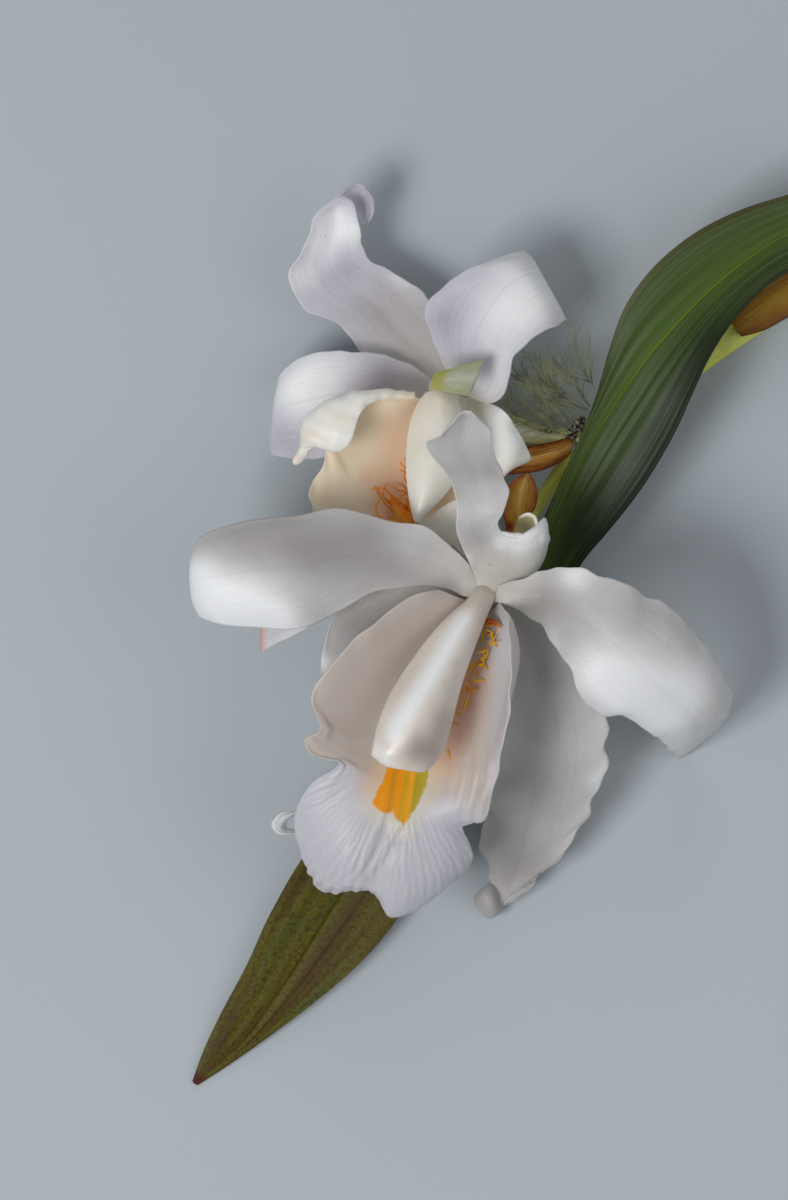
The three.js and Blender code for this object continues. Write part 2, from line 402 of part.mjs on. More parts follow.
const backPetalRight = [
  [[-27.4, 43.2, 14.8], [-26.6, 43, 14.4], [-25.8, 42.6, 14.2], [-25, 42.1, 14.4], [-24.4, 41.5, 14.8]],
  [[-28.8, 45.8, 15.6], [-26.6, 44.8, 14.8], [-24.2, 43.6, 14.4], [-21.4, 42, 14.6], [-18.6, 40.2, 15.6]],
  [[-30.2, 49.4, 16.8], [-26.8, 48.6, 15.8], [-23.4, 47.2, 15.4], [-19.8, 45.4, 15.6], [-16.6, 43.4, 16.6]],
  [[-31.5, 53.4, 17.6], [-27.4, 52.6, 17], [-23, 51.2, 16.8], [-19, 49.2, 17], [-15.6, 46.8, 17.6]],
  [[-29.8, 56.6, 18], [-25.6, 56.2, 17.8], [-21.2, 54.8, 17.8], [-17, 52.4, 17.8], [-12.8, 49.4, 18]],
  [[-25.2, 60.2, 18], [-21.8, 59.4, 18.4], [-18, 57.8, 18.4], [-14, 54.8, 18], [-9.8, 51, 17]],
  [[-19.4, 62.8, 16.8], [-17, 62, 17.4], [-14.4, 60, 17.2], [-11.6, 56.8, 16.4], [-8.2, 51.7, 14.6]],
  [[-14.7, 64.1, 13.6], [-13.4, 62.9, 13.6], [-11.8, 60.2, 13.2], [-9.7, 56.5, 12.2], [-7.5, 52.6, 11]],
  [[-15.2, 62.6, 10], [-14, 61, 9.8], [-12.6, 58.6, 9.4], [-11, 55.8, 8.8], [-9.4, 53.2, 8.2]],
  [[-17.8, 59, 7.2], [-17.2, 58.4, 7], [-16.6, 57.8, 6.9], [-16, 57.2, 6.8], [-15.4, 56.6, 6.8]],
];

const backPetalLeft = [
  [[-31.2, 40.9, 13.2], [-31.3, 40.3, 12.9], [-31.3, 39.7, 12.8], [-31.2, 39.1, 12.9], [-31, 38.5, 13.2]],
  [[-35.4, 43.4, 13.2], [-35.6, 41.6, 12.4], [-35.8, 39.4, 12], [-35.6, 36.8, 12], [-35.2, 34.6, 12.2]],
  [[-40.4, 45.9, 12.6], [-40.8, 43.2, 12], [-41, 39.8, 11.4], [-40.8, 35.8, 11], [-40.2, 32.4, 11]],
  [[-45.4, 47, 12], [-46, 43.8, 11.6], [-46.2, 39.6, 11], [-46, 34.6, 10.4], [-45.2, 30.2, 9.8]],
  [[-50, 46.9, 11.4], [-51, 43.4, 11.4], [-51.4, 38.6, 10.6], [-51.2, 33.2, 9.6], [-50.4, 28.6, 8.6]],
  [[-54.2, 45, 9.8], [-55, 41.8, 10], [-55.4, 37.4, 9.2], [-55.6, 32.4, 8], [-55.2, 28.9, 6.8]],
  [[-56.6, 41.8, 6.6], [-57, 38.4, 6.8], [-57.4, 34.8, 6.2], [-57.8, 31.8, 5.2], [-57.6, 29.7, 4.2]],
  [[-55.8, 39.4, 3], [-56.2, 37, 2.8], [-56.4, 34.6, 2.4], [-56.4, 32.6, 2], [-56, 31, 1.6]],
  [[-53.4, 36.6, 0.7], [-53.3, 36.2, 0.6], [-53.2, 35.8, 0.5], [-53.1, 35.4, 0.5], [-53, 35, 0.5]],
];

const backLateralSepalLeft = [
  [[-30.1, 38.5, 10.6], [-29.8, 38, 10.3], [-29.3, 37.6, 10.2], [-28.7, 37.3, 10.2], [-28.1, 37.1, 10.4]],
  [[-36.6, 32.4, 9.4], [-35.2, 31.2, 9], [-33.6, 30.2, 8.8], [-31.8, 29.4, 9], [-30, 28.8, 9.4]],
  [[-41.4, 26.6, 8], [-39.4, 25, 7.6], [-37, 23.6, 7.4], [-34.4, 22.6, 7.6], [-31.8, 22, 8]],
  [[-44.4, 20.4, 6.6], [-42, 18.8, 6.2], [-39.4, 17.4, 6], [-36.6, 16.4, 6.2], [-33.8, 15.8, 6.6]],
  [[-46, 14, 5.4], [-43.8, 12.6, 5], [-41.4, 11.4, 4.8], [-38.8, 10.6, 5], [-36.4, 10.2, 5.4]],
  [[-46, 8, 4.2], [-44.8, 7, 4], [-43.2, 6.2, 3.8], [-41.4, 5.8, 4], [-39.8, 5.8, 4.2]],
  [[-45.2, 3.6, 3.4], [-44.9, 3.3, 3.3], [-44.5, 3.1, 3.2], [-44.1, 3, 3.3], [-43.7, 3, 3.4]],
];

const backLateralSepalRight = [
  [[-25.4, 36.6, 11.4], [-24.8, 37.1, 11.1], [-24.2, 37.7, 11], [-23.8, 38.4, 11.2], [-23.5, 39.1, 11.6]],
  [[-25.2, 33, 12], [-23.6, 34, 12], [-21.8, 35.2, 12.6], [-20, 36.4, 13.4], [-18.4, 37.2, 14]],
  [[-24.4, 29.4, 12.4], [-22.2, 30.4, 13], [-19.8, 31.6, 13.8], [-17.8, 33, 14.4], [-16.2, 34.4, 13.6]],
  [[-23.2, 26, 12.6], [-21.2, 26.8, 13.4], [-18.8, 28.2, 14.4], [-16.4, 29.8, 14.8], [-14.6, 31.6, 13.4]],
  [[-22.4, 23.6, 11.8], [-20.6, 24, 12.8], [-18.8, 25.2, 13.6], [-16.6, 27.2, 13.6], [-13.5, 28.7, 12]],
  [[-22, 24.4, 9.4], [-20.6, 25, 9.6], [-19.2, 26.2, 9.8], [-17.4, 28, 9.8], [-15.6, 29.6, 9.6]],
  [[-21.4, 27.4, 8.9], [-20.8, 27.6, 8.9], [-20.2, 28, 8.9], [-19.6, 28.6, 9], [-19, 29.2, 9]],
];

const backTepals = {
  back_dorsal_sepal: backDorsalSepal,
  back_petal_right: backPetalRight,
  back_petal_left: backPetalLeft,
  back_lateral_sepal_left: backLateralSepalLeft,
  back_lateral_sepal_right: backLateralSepalRight,
};
for (const [name, net] of Object.entries(backTepals)) {
  addPiece(name, blade(net, TEPAL_THICKNESS), FINISH.tepal);
}

// ---------------------------------------------------------------- back flower: lip, column, ovary, bracts

// The left lobe's margin is folded back over its own face
const backLip = [
  [[-31.2, 38.6, 16.8], [-31.2, 38.9, 16.2], [-30.4, 38.3, 15.4], [-29.4, 37.8, 15], [-28.2, 37.5, 15.2],
    [-27, 37.6, 16], [-26.2, 38, 17]],
  [[-37, 38.1, 22.2], [-37.2, 40.2, 20.6], [-35, 35.4, 15.8], [-31.6, 33.4, 14.6], [-28.4, 32.8, 14.8],
    [-25.4, 33, 17], [-23.4, 33.4, 19]],
  [[-41.2, 37.2, 25.2], [-43, 39.9, 23.2], [-40, 34, 16.4], [-34, 28.8, 14.6], [-29.6, 27.6, 15],
    [-25, 27.2, 17.4], [-22.8, 27.4, 19.6]],
  [[-44.8, 31.2, 26.6], [-48.6, 37.6, 23.8], [-44.6, 31, 16.4], [-36.6, 24, 14.4], [-31.2, 22.4, 14.8],
    [-26.4, 21.6, 17.2], [-24, 21.2, 19.4]],
  [[-49.6, 30.4, 26], [-52.3, 34.2, 22.6], [-46.8, 27.6, 16.2], [-38.6, 20, 14.6], [-33, 17.6, 15],
    [-28.4, 16.4, 17], [-26.4, 15.6, 19]],
  [[-53.6, 28, 22.4], [-52.4, 29.6, 20.6], [-47, 25.4, 16.2], [-39.4, 18.4, 14.6], [-34, 15.6, 15],
    [-29.4, 14.2, 16.6], [-27, 13.8, 18.2]],
  [[-51.3, 23.4, 19.4], [-49.8, 24.4, 18], [-46.2, 21.8, 16], [-40.2, 16.6, 14.6], [-35.2, 13.8, 15],
    [-30.6, 12.6, 16.2], [-28.2, 12.6, 17.6]],
  [[-50.6, 19.6, 17.4], [-49, 19.2, 16.6], [-46, 17.4, 15.6], [-41.4, 13.4, 14.6], [-37, 10.8, 14.8],
    [-33, 9.4, 15], [-30.6, 9.4, 14.8]],
  [[-54, 15.4, 14], [-51, 14.2, 14.4], [-47.2, 12.4, 14.8], [-43, 9.4, 14.4], [-39.2, 7.2, 14.4],
    [-35.4, 5.6, 14], [-31.8, 4.6, 13]],
  [[-52.6, 9.4, 10.6], [-50.6, 8.4, 11.4], [-48.2, 7, 12], [-45.2, 5.4, 12], [-42, 3.8, 11.6],
    [-38.8, 2.4, 11], [-35.6, 1.4, 9.8]],
];
addPiece('back_lip', blade(backLip, LIP_THICKNESS), FINISH.lip);

const backColumnBack = [
  [[-31.4, 39.9, 19.2], [-30.2, 40.3, 20.2], [-28.8, 40.4, 20.6], [-27.2, 39.8, 20.1], [-25.8, 38.6, 19]],
  [[-33.4, 37.6, 20.4], [-31.6, 37.2, 22.4], [-29, 36.6, 23.4], [-26.4, 35.8, 22.4], [-24.6, 35, 20]],
  [[-34.6, 33, 21.4], [-32, 32.6, 23.8], [-29, 32, 24.8], [-26, 31.4, 23.6], [-24.6, 30.8, 22]],
  [[-34.8, 28.2, 22.2], [-32.4, 27.8, 24.4], [-29.6, 27.4, 25.2], [-27, 27, 24.2], [-25, 26.6, 22.8]],
  [[-34.6, 24, 22.8], [-32.8, 23.6, 24.6], [-30.8, 23.4, 25.2], [-28.8, 23.4, 24.4], [-27, 23.4, 23]],
  [[-34, 20.8, 23.2], [-33.1, 20.4, 24.4], [-32, 20.2, 24.8], [-30.8, 20.4, 24.2], [-29.6, 20.8, 23]],
  [[-33.4, 18.2, 23.6], [-33.2, 17.9, 24], [-32.9, 17.7, 24.1], [-32.5, 17.8, 24], [-32.1, 18, 23.6]],
];
addPiece('back_column', columnSolid(backColumnBack), FINISH.column);

const backOvaryPath = [
  [-28.2, 40.4, 13.6], [-26.8, 39.8, 10.4], [-23.4, 37.8, 6.6], [-18.6, 35, 5.2], [-13.4, 33.2, 5], [-7.3, 32.4, 5],
];
const backOvaryRadii = [2.8, 2.3, 1.7, 1.4, 1.3, 1.3];
addPiece('back_ovary', stem(backOvaryPath, backOvaryRadii), FINISH.stem);

const backBract = [
  [[-8, 30.7, 6.4], [-7.9, 30.3, 6.9], [-7.9, 29.9, 7.2], [-8, 29.5, 6.9], [-8.2, 29.1, 6.4]],
  [[-10.6, 30.9, 6.6], [-10.5, 30, 7.8], [-10.4, 29.2, 8.1], [-10.3, 28.2, 7.8], [-10.2, 27.3, 6.8]],
  [[-13.6, 30.6, 6.4], [-13.5, 29.6, 8], [-13.4, 28.5, 8.4], [-13.2, 27.4, 8], [-13, 26.3, 6.8]],
  [[-17, 29.4, 6], [-17, 28.7, 7], [-17, 27.9, 7.4], [-16.9, 27.1, 7], [-16.8, 26.3, 6.4]],
  [[-19.6, 27.8, 6.2], [-19.6, 27.5, 6.4], [-19.5, 27.2, 6.5], [-19.4, 26.9, 6.4], [-19.3, 26.6, 6.2]],
];
addPiece('back_bract', blade(backBract, BRACT_THICKNESS), FINISH.papery);

const paleBract = [
  [[-30.4, 40.9, 22], [-29.6, 40.6, 21.7], [-28.8, 40.9, 21.6]],
  [[-30.6, 41.8, 21], [-27.9, 41.6, 21.2], [-25.6, 40.4, 21.4]],
  [[-28, 43.2, 20.6], [-25.6, 42.6, 21.4], [-23.6, 41, 21.4]],
  [[-23.6, 44.7, 20], [-23.2, 44, 20.6], [-22.4, 43.2, 20.4]],
  [[-21.7, 45.6, 19.6], [-21.5, 45.4, 19.7], [-21.3, 45.2, 19.6]],
];
addPiece('pale_bract', blade(paleBract, BRACT_THICKNESS, ROW_STEPS, FINE_STEPS), FINISH.pale);

// ---------------------------------------------------------------- leaf, flower stem and shoot

const leaf = [
  [[58.2, 74, 8.4], [58.9, 71.9, 6.8], [59.7, 69.8, 8.2]],
  [[52, 75.4, 11], [53, 71, 8.8], [54, 66.8, 10.4]],
  [[44, 76.2, 14], [45, 70.8, 11.6], [46, 65, 13.2]],
  [[37, 75.6, 16.4], [37.6, 69.6, 14.4], [38.4, 63.4, 15.8]],
  [[30.2, 73.5, 18], [30.2, 66.9, 16.4], [30.2, 60.2, 17.4]],
  [[22.6, 71.1, 18.6], [23.4, 62.7, 17.2], [25, 56.4, 18]],
  [[14.9, 67.3, 18.6], [16.7, 57.2, 17.4], [20.6, 51.4, 18.2]],
  [[8, 61.8, 18], [11.4, 51.8, 17], [17, 45.8, 18]],
  [[3, 55.2, 16.8], [6.6, 46.3, 16], [14, 39.4, 17.2]],
  [[0.2, 48.1, 15.4], [2.2, 40, 14.6], [11.4, 33.6, 16]],
  [[-2.1, 39.9, 13.8], [-1.8, 33.6, 13.2], [8.2, 27.8, 14.6]],
  [[-4.8, 32.2, 12.2], [-4.6, 28.4, 12], [4.4, 22, 13]],
  [[-8.2, 25.2, 10.8], [-7.6, 22.2, 10.8], [-0.2, 16.2, 11.6]],
  [[-10.8, 19.3, 9.8], [-10.2, 15.8, 9.8], [-4.8, 10.6, 10.6]],
  [[-15.4, 9.4, 8.8], [-13.8, 5.4, 8.4], [-9.6, 2, 9.4]],
  [[-24, -3.4, 7.6], [-20.4, -7.2, 7], [-15.4, -10.4, 8]],
  [[-33.4, -16.4, 6.4], [-28.6, -20.4, 5.6], [-22.4, -24.2, 6.6]],
  [[-43, -28.6, 5.4], [-37, -33, 4.4], [-29.4, -37.6, 5.6]],
  [[-51.4, -38.2, 4.6], [-44.2, -43.4, 3.4], [-36.2, -50, 4.8]],
  [[-57.8, -49, 3.8], [-50.6, -53.5, 2.6], [-43, -58, 4]],
  [[-61.9, -57.9, 3], [-56, -62, 1.8], [-50.6, -64.6, 3]],
  [[-66.4, -66.4, 2], [-61.8, -70.2, 1.1], [-58, -70.2, 2]],
  [[-69.4, -72.8, 1.1], [-66.8, -75, 0.7], [-64.8, -75, 1]],
  [[-71.3, -78, 0.6], [-71, -78.4, 0.5], [-70.4, -78.7, 0.6]],
];
addPiece('leaf', blade(leaf, LEAF_THICKNESS, ROW_STEPS, FINE_STEPS), FINISH.leaf);

// The flower stem lies on the surface and passes under the leaf
const stemPath = [
  [-5.5, 31.4, 4.8], [0, 34.4, 3.4], [8, 39.2, 2.4], [17, 46.5, 2.2], [24, 51.4, 2.2], [30.2, 55.4, 2.2],
  [42, 61.6, 2.3], [52, 66.2, 2.5], [60, 69.8, 2.7],
];
const stemRadii = [1.9, 1.8, 1.8, 2, STEM_RADIUS, STEM_RADIUS, 2.2, 2.4, 2.4];
const LONG_STEM_STEPS = 26;
addPiece('flower_stem', stem(stemPath, stemRadii, LONG_STEM_STEPS), FINISH.stem);

const STEM_SHEATH_RADIUS = STEM_RADIUS + SHEATH_GAP + BRACT_THICKNESS / 2;
const stemSheathAxis = [[44, 62.6, 2.3], [36, 58.6, 2.2], [30.2, 55.4, 2.2], [26, 52.8, 2.2], [22.4, 50.3, 2.2]];
const stemSheathSpans = [88, 86, 80, 55, 20];
addPiece(
  'stem_sheath',
  blade(sheathNet(stemSheathAxis, STEM_SHEATH_RADIUS, stemSheathSpans), BRACT_THICKNESS, ROW_STEPS, FINE_STEPS),
  FINISH.papery,
);

// The cut shoot that carries the leaf and the flower stem, with one papery scale round it
const shootFront = new THREE.Vector3(60.4, 70.5, SHOOT_RADIUS);
const shootCut = new THREE.Vector3(69.3, 74.7, SHOOT_RADIUS);
const shootLength = shootFront.distanceTo(shootCut);
const shootProfile = [
  new THREE.Vector2(0, 0),
  new THREE.Vector2(SHOOT_RADIUS - 0.8, 0),
  new THREE.Vector2(SHOOT_RADIUS - 0.2, 0.8),
  new THREE.Vector2(SHOOT_RADIUS, shootLength / 2),
  new THREE.Vector2(SHOOT_RADIUS, shootLength),
  new THREE.Vector2(0, shootLength),
];
const shootGeometry = new THREE.LatheGeometry(shootProfile, 20);
const shootDirection = shootCut.clone().sub(shootFront).normalize();
shootGeometry.applyQuaternion(new THREE.Quaternion().setFromUnitVectors(new THREE.Vector3(0, 1, 0), shootDirection));
shootGeometry.translate(shootFront.x, shootFront.y, shootFront.z);
addPiece('shoot_base', shootGeometry, FINISH.stem);

const SCALE_RADIUS = SHOOT_RADIUS + SCALE_GAP + BRACT_THICKNESS / 2;
const scaleAxis = [[67.4, 73.8, SHOOT_RADIUS], [64, 72.2, SHOOT_RADIUS], [61, 70.8, SHOOT_RADIUS]];
const scaleNet = sheathNet(scaleAxis, SCALE_RADIUS, [100, 90, 25]);
addPiece('shoot_scale', blade(scaleNet, BRACT_THICKNESS, FINE_STEPS, FINE_STEPS), FINISH.papery);

// A dark knob of crowded scales at the stem's last node
const KNOB_RADIUS = 0.95;
const knobCentres = [[-5.9, 33.3, 7.3], [-5.2, 34.3, 7.6], [-4.3, 33.4, 7.5], [-5, 33.7, 8.4]];
const knobLumps = knobCentres.map((centre) => new THREE.IcosahedronGeometry(KNOB_RADIUS, 1).translate(...centre));
addPiece('node_knob', joined(...knobLumps), FINISH.knob);

// The tuft of fine branching hairs, as one thin fan
const hairTuft = [
  [[-7.3, 33.9, 8.2], [-7, 34.8, 8.3], [-6.5, 35.7, 8.2]],
  [[-11, 34.8, 8], [-10.6, 38, 8.8], [-8, 41, 8.4]],
  [[-16, 36.6, 7.6], [-14.6, 41.6, 8.4], [-8.6, 46, 8]],
  [[-18, 39, 7.2], [-16, 44.6, 7.6], [-9.6, 49, 7.4]],
];
const TUFT_THICKNESS = 1.2;
addPiece('hair_tuft', blade(hairTuft, TUFT_THICKNESS, ROW_STEPS, FINE_STEPS), FINISH.hair);

export default spray;
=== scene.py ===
# A cut orchid spray of two white flowers, a strap leaf and a sheathed flower stem, lying on its back on a
# pale table.
import math
import random
from types import SimpleNamespace

import bpy
import numpy as np
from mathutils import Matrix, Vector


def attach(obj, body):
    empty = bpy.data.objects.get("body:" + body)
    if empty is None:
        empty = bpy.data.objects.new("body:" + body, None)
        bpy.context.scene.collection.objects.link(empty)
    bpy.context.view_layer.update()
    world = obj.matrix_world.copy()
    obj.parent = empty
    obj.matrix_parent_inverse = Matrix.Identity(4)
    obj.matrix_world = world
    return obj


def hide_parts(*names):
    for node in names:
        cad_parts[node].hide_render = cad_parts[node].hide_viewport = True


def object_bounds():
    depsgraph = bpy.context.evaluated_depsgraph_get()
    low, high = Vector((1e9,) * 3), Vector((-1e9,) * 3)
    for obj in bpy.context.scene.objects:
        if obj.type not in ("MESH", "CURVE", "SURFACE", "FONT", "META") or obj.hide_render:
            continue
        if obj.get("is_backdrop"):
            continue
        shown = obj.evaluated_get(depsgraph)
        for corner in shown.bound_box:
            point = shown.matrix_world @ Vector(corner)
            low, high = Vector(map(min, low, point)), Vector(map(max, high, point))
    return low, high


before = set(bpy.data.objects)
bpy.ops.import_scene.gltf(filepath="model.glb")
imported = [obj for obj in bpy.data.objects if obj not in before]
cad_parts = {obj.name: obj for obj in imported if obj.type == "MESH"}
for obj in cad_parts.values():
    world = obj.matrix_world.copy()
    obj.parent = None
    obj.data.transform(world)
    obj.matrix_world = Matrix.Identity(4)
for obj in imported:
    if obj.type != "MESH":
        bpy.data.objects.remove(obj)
cad_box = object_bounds()

# ------------------------ camera
# The view is straight down on the spray, from two metres above the table, through a long lens, so that the
# flowers keep their true proportions.
MM = 0.001
PICTURE_HEIGHT = 204 * MM
FLOWER_PLANE = 20 * MM
CAMERA_HEIGHT = 2.0
SENSOR = 36

bpy.ops.object.camera_add(location=(-36.7 * MM, 4.6 * MM, CAMERA_HEIGHT), rotation=(0, 0, 0))
view_camera = bpy.context.object
view_camera.name = "view_camera"
view_camera.data.sensor_fit = "VERTICAL"
view_camera.data.sensor_height = SENSOR
view_camera.data.lens = SENSOR * (CAMERA_HEIGHT - FLOWER_PLANE) / PICTURE_HEIGHT
view_camera.data.clip_end = 20
bpy.context.scene.camera = view_camera
bpy.context.scene.view_settings.view_transform = "Standard"

# ------------------------ table and studio light
# A plain table top painted a pale cool grey, matt, so that white petals read against it. A large softbox
# stands to the left and a little towards the viewer's side, a weaker one fills from the right, and a strip
# lights the upper edges.
TABLE_GREY = "#BEC6CB"


def from_hex(colour):
    """The linear colour of an sRGB hex value."""
    channels = [int(colour[k : k + 2], 16) / 255 for k in (1, 3, 5)]
    return [c / 12.92 if c <= 0.04045 else ((c + 0.055) / 1.055) ** 2.4 for c in channels] + [1.0]


def feed(tree, node, links):
    """Sets a node's inputs. Each is a value, a hex colour, a socket, or a node whose first open socket it
    takes."""
    for key, value in links.items():
        if isinstance(value, bpy.types.Node):
            value = next(socket for socket in value.outputs if not socket.is_unavailable)
        if isinstance(value, bpy.types.NodeSocket):
            tree.links.new(value, node.inputs[key])
        else:
            node.inputs[key].default_value = from_hex(value) if isinstance(value, str) else value


def add_node(tree, kind, links, ramp=None, **settings):
    """Adds a shader node with its settings and its links."""
    node = tree.nodes.new("ShaderNode" + kind)
    for key, value in settings.items():
        setattr(node, key, value)
    feed(tree, node, links)
    if ramp:
        while len(node.color_ramp.elements) < len(ramp):
            node.color_ramp.elements.new(0.5)
        for element, (place, colour) in zip(node.color_ramp.elements, ramp):
            element.position = place
            element.color = from_hex(colour)
    return node


def start_material(name, **sockets):
    """A new material, its node tree and its surface shader with those values."""
    material = bpy.data.materials.new(name)
    material.use_nodes = True
    tree = material.node_tree
    shader = tree.nodes["Principled BSDF"]
    for key, value in sockets.items():
        shader.inputs[key.replace("_", " ")].default_value = value
    return material, tree, shader


# Emulsion paint on board: a faint roller stipple two millimetres apart
table_paint, tree, shader = start_material("matt_emulsion", Roughness=0.8)
place = add_node(tree, "TexCoord", {}).outputs["Object"]
cloud = add_node(tree, "TexNoise", {"Vector": place, "Scale": 3.0, "Detail": 3.0})
tone = add_node(tree, "ValToRGB", {"Fac": cloud}, ramp=[(0.3, "#B8C1C7"), (0.7, TABLE_GREY)])
stipple = add_node(tree, "TexNoise", {"Vector": place, "Scale": 500.0})
bump = add_node(tree, "Bump", {"Height": stipple, "Strength": 0.05, "Distance": 0.0002})
feed(tree, shader, {"Base Color": tone, "Normal": bump})

bpy.ops.mesh.primitive_plane_add(size=8, location=(0, 0, 0))
table = bpy.context.object
table.name = "table_top"
table.data.materials.append(table_paint)
table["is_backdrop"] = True

SOFTBOXES = {
    "key_softbox": ((-0.56, -0.3, 0.86), 0.42, 5.4, "#FFFFFF"),
    "fill_softbox": ((0.75, -0.1, 0.9), 0.8, 1.7, "#F8F4F4"),
    "back_strip": ((0.1, 1.0, 0.6), 0.5, 1.2, "#FFF7EC"),
}
for name, (spot, size, power, colour) in SOFTBOXES.items():
    bpy.ops.object.light_add(type="AREA", location=spot)
    softbox = bpy.context.object
    softbox.name = name
    softbox.data.size = size
    softbox.data.energy = power
    softbox.data.color = from_hex(colour)[:3]
    aim = np.array([-0.03, 0.0, 0.02]) - np.array(spot)
    turn = math.atan2(aim[1], aim[0]) - math.pi / 2
    softbox.rotation_euler = (math.atan2(math.hypot(aim[0], aim[1]), -aim[2]), 0, turn)

studio = bpy.data.worlds.new("studio_room")
bpy.context.scene.world = studio
studio.use_nodes = True
studio.node_tree.nodes["Background"].inputs["Color"].default_value = from_hex("#E9EEF4")
studio.node_tree.nodes["Background"].inputs["Strength"].default_value = 0.3

# ------------------------ front flower: sepals and petals
# Five thin blades of white petal tissue that spring from the top of the ovary. They are full of air between
# clear cells, so they glow softly where light passes through, and their skin is satin with a fine crystalline
# grain. Each was folded in the bud, so its margin waves a little and its middle keeps a faint groove. Painted
# highlights and painted shade are laid into their colour by each blade's glow mark.


def fill_in(points, steps):
    """Fills points in along their first axis with the smooth curve through them."""
    points = np.array(points, float)
    padded = np.concatenate([2 * points[:1] - points[1:2], points, 2 * points[-1:] - points[-2:-1]])
    places = np.arange((len(points) - 1) * steps + 1) / steps
    start = np.minimum(places.astype(int), len(points) - 2)
    t = (places - start).reshape([-1] + [1] * (points.ndim - 1))
    return (
        (-t + 2 * t**2 - t**3) / 2 * padded[start]
        + (2 - 5 * t**2 + 3 * t**3) / 2 * padded[start + 1]
        + (t + 4 * t**2 - 3 * t**3) / 2 * padded[start + 2]
        + (-(t**2) + t**3) / 2 * padded[start + 3]
    )


def smooth_net(net, row_steps, column_steps):
    """The smooth surface through a net of points, as rows from root to tip of points from one margin to the
    other."""
    return fill_in(fill_in(net, row_steps).swapaxes(0, 1), column_steps).swapaxes(0, 1)


def unit(vectors):
    """The vectors, each made one long."""
    return vectors / np.maximum(np.linalg.norm(vectors, axis=-1, keepdims=True), 1e-9)


def surface_normals(surface):
    """The direction that a surface faces at each of its points."""
    return unit(np.cross(np.gradient(surface, axis=1), np.gradient(surface, axis=0)))


def blade_surface(net, row_steps=8, column_steps=12):
    """The smooth surface through a blade's net, with its columns in the order that makes its face look up."""
    surface = smooth_net(net, row_steps, column_steps)
    return surface if surface_normals(surface)[..., 2].mean() > 0 else surface[:, ::-1]


def running_length(surface, axis):
    """Each point's distance in millimetres from the start of its row or column."""
    gaps = np.linalg.norm(np.diff(surface, axis=axis), axis=2)
    start = np.zeros_like(gaps.take([0], axis=axis))
    return np.concatenate([start, np.cumsum(gaps, axis=axis)], axis=axis)


def measure(surface):
    """Where each point of a blade lies: shares across and along, and distances in millimetres from its
    edges."""
    rows, columns = surface.shape[:2]
    across = np.tile(np.linspace(0, 1, columns), (rows, 1))
    along = np.tile(np.linspace(0, 1, rows)[:, None], (1, columns))
    left = running_length(surface, 1)
    right = left[:, -1:] - left
    root = running_length(surface, 0)
    tip = root[-1:] - root
    side = np.minimum(left, right)
    return SimpleNamespace(
        across=across, along=along, left=left, right=right, root=root, tip=tip, side=side,
        margin=np.minimum(side, tip), x=surface[..., 0], y=surface[..., 1]
    )


def select_only(piece):
    """Selects one piece alone and makes it the active one."""
    bpy.ops.object.select_all(action="DESELECT")
    piece.select_set(True)
    bpy.context.view_layer.objects.active = piece


def lay_sheet(name, surface):
    """A flat grid with one vertex for each point of the surface, moved onto it."""
    rows, columns = surface.shape[:2]
    bpy.ops.object.select_all(action="DESELECT")
    bpy.ops.mesh.primitive_grid_add(x_subdivisions=columns - 1, y_subdivisions=rows - 1, size=1)
    sheet = bpy.context.object
    sheet.name = sheet.data.name = name
    sheet.data.vertices.foreach_set("co", (surface * MM).reshape(-1))
    sheet.data.update()
    return sheet


def soft_step(values, low, high):
    """Rises smoothly from 0 at low to 1 at high."""
    share = np.clip((values - low) / (high - low), 0, 1)
    return share * share * (3 - 2 * share)


def falloff(distance, reach):
    """Falls smoothly from 1, at no distance, to almost nothing at twice the reach."""
    return np.exp(-((distance / reach) ** 2))


def mark(piece, name, values):
    """Marks each of a piece's points with a value that its material reads."""
    attribute = piece.data.attributes.new(name, "FLOAT", "POINT")
    attribute.data.foreach_set("value", values.reshape(-1).astype(np.float32))


def fix_on(piece, material, slot, *nodes):
    """Gives a finished piece its material, and fixes it to the spray in place of those solids."""
    piece.data.materials.append(material)
    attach(piece, "root")
    if nodes:
        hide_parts(*nodes)


def grow_blade(name, surface, wall, skin, slot, *nodes, relief=None, marks=None, glow=None):
    """A thin closed blade, fixed on in its skin. Its wall is its thickness in the middle, its thickness at
    the rim and the width over which it thins out to the rim, in millimetres. The relief lifts its face by so
    many millimetres, and the marks and glow are values that its material reads."""
    body, rim, rim_width = wall
    place = measure(surface)
    if glow:
        marks = {"glow": glow(place)}
    if relief:
        surface = surface + surface_normals(surface) * relief(place)[..., None]
    blade = lay_sheet(name, surface)
    for key, values in (marks or {}).items():
        mark(blade, key, values)
    group = blade.vertex_groups.new(name="thickness")
    for index, weight in enumerate(soft_step(place.margin, 0, rim_width).reshape(-1)):
        group.add([index], float(weight), "REPLACE")
    solidify = blade.modifiers.new("wall", "SOLIDIFY")
    solidify.thickness = body * MM
    solidify.offset = 0
    solidify.vertex_group = group.name
    solidify.thickness_vertex_group = rim / body
    select_only(blade)
    bpy.ops.object.modifier_apply(modifier=solidify.name)
    bpy.ops.object.shade_smooth()
    fix_on(blade, skin, slot, *nodes)


def waves(distance, period, phase):
    """An uneven ripple between about -1 and 1."""
    turn = 2 * np.pi * distance / period + phase
    return 0.6 * np.sin(turn) + 0.4 * np.sin(1.73 * turn + 2.1 * phase)


def past_foot(place):
    """Rises from 0 at a blade's foot to 1 at a seventh of its length."""
    return np.clip(place.along / 0.15, 0, 1)


def margin_waves(place, reach, period, phase):
    """An uneven ripple on each side of a blade, dying out over its reach from the margin."""
    left = waves(place.root, period, phase) * np.exp(-place.left / reach)
    return left, waves(place.root, period, phase + 2) * np.exp(-place.right / reach)


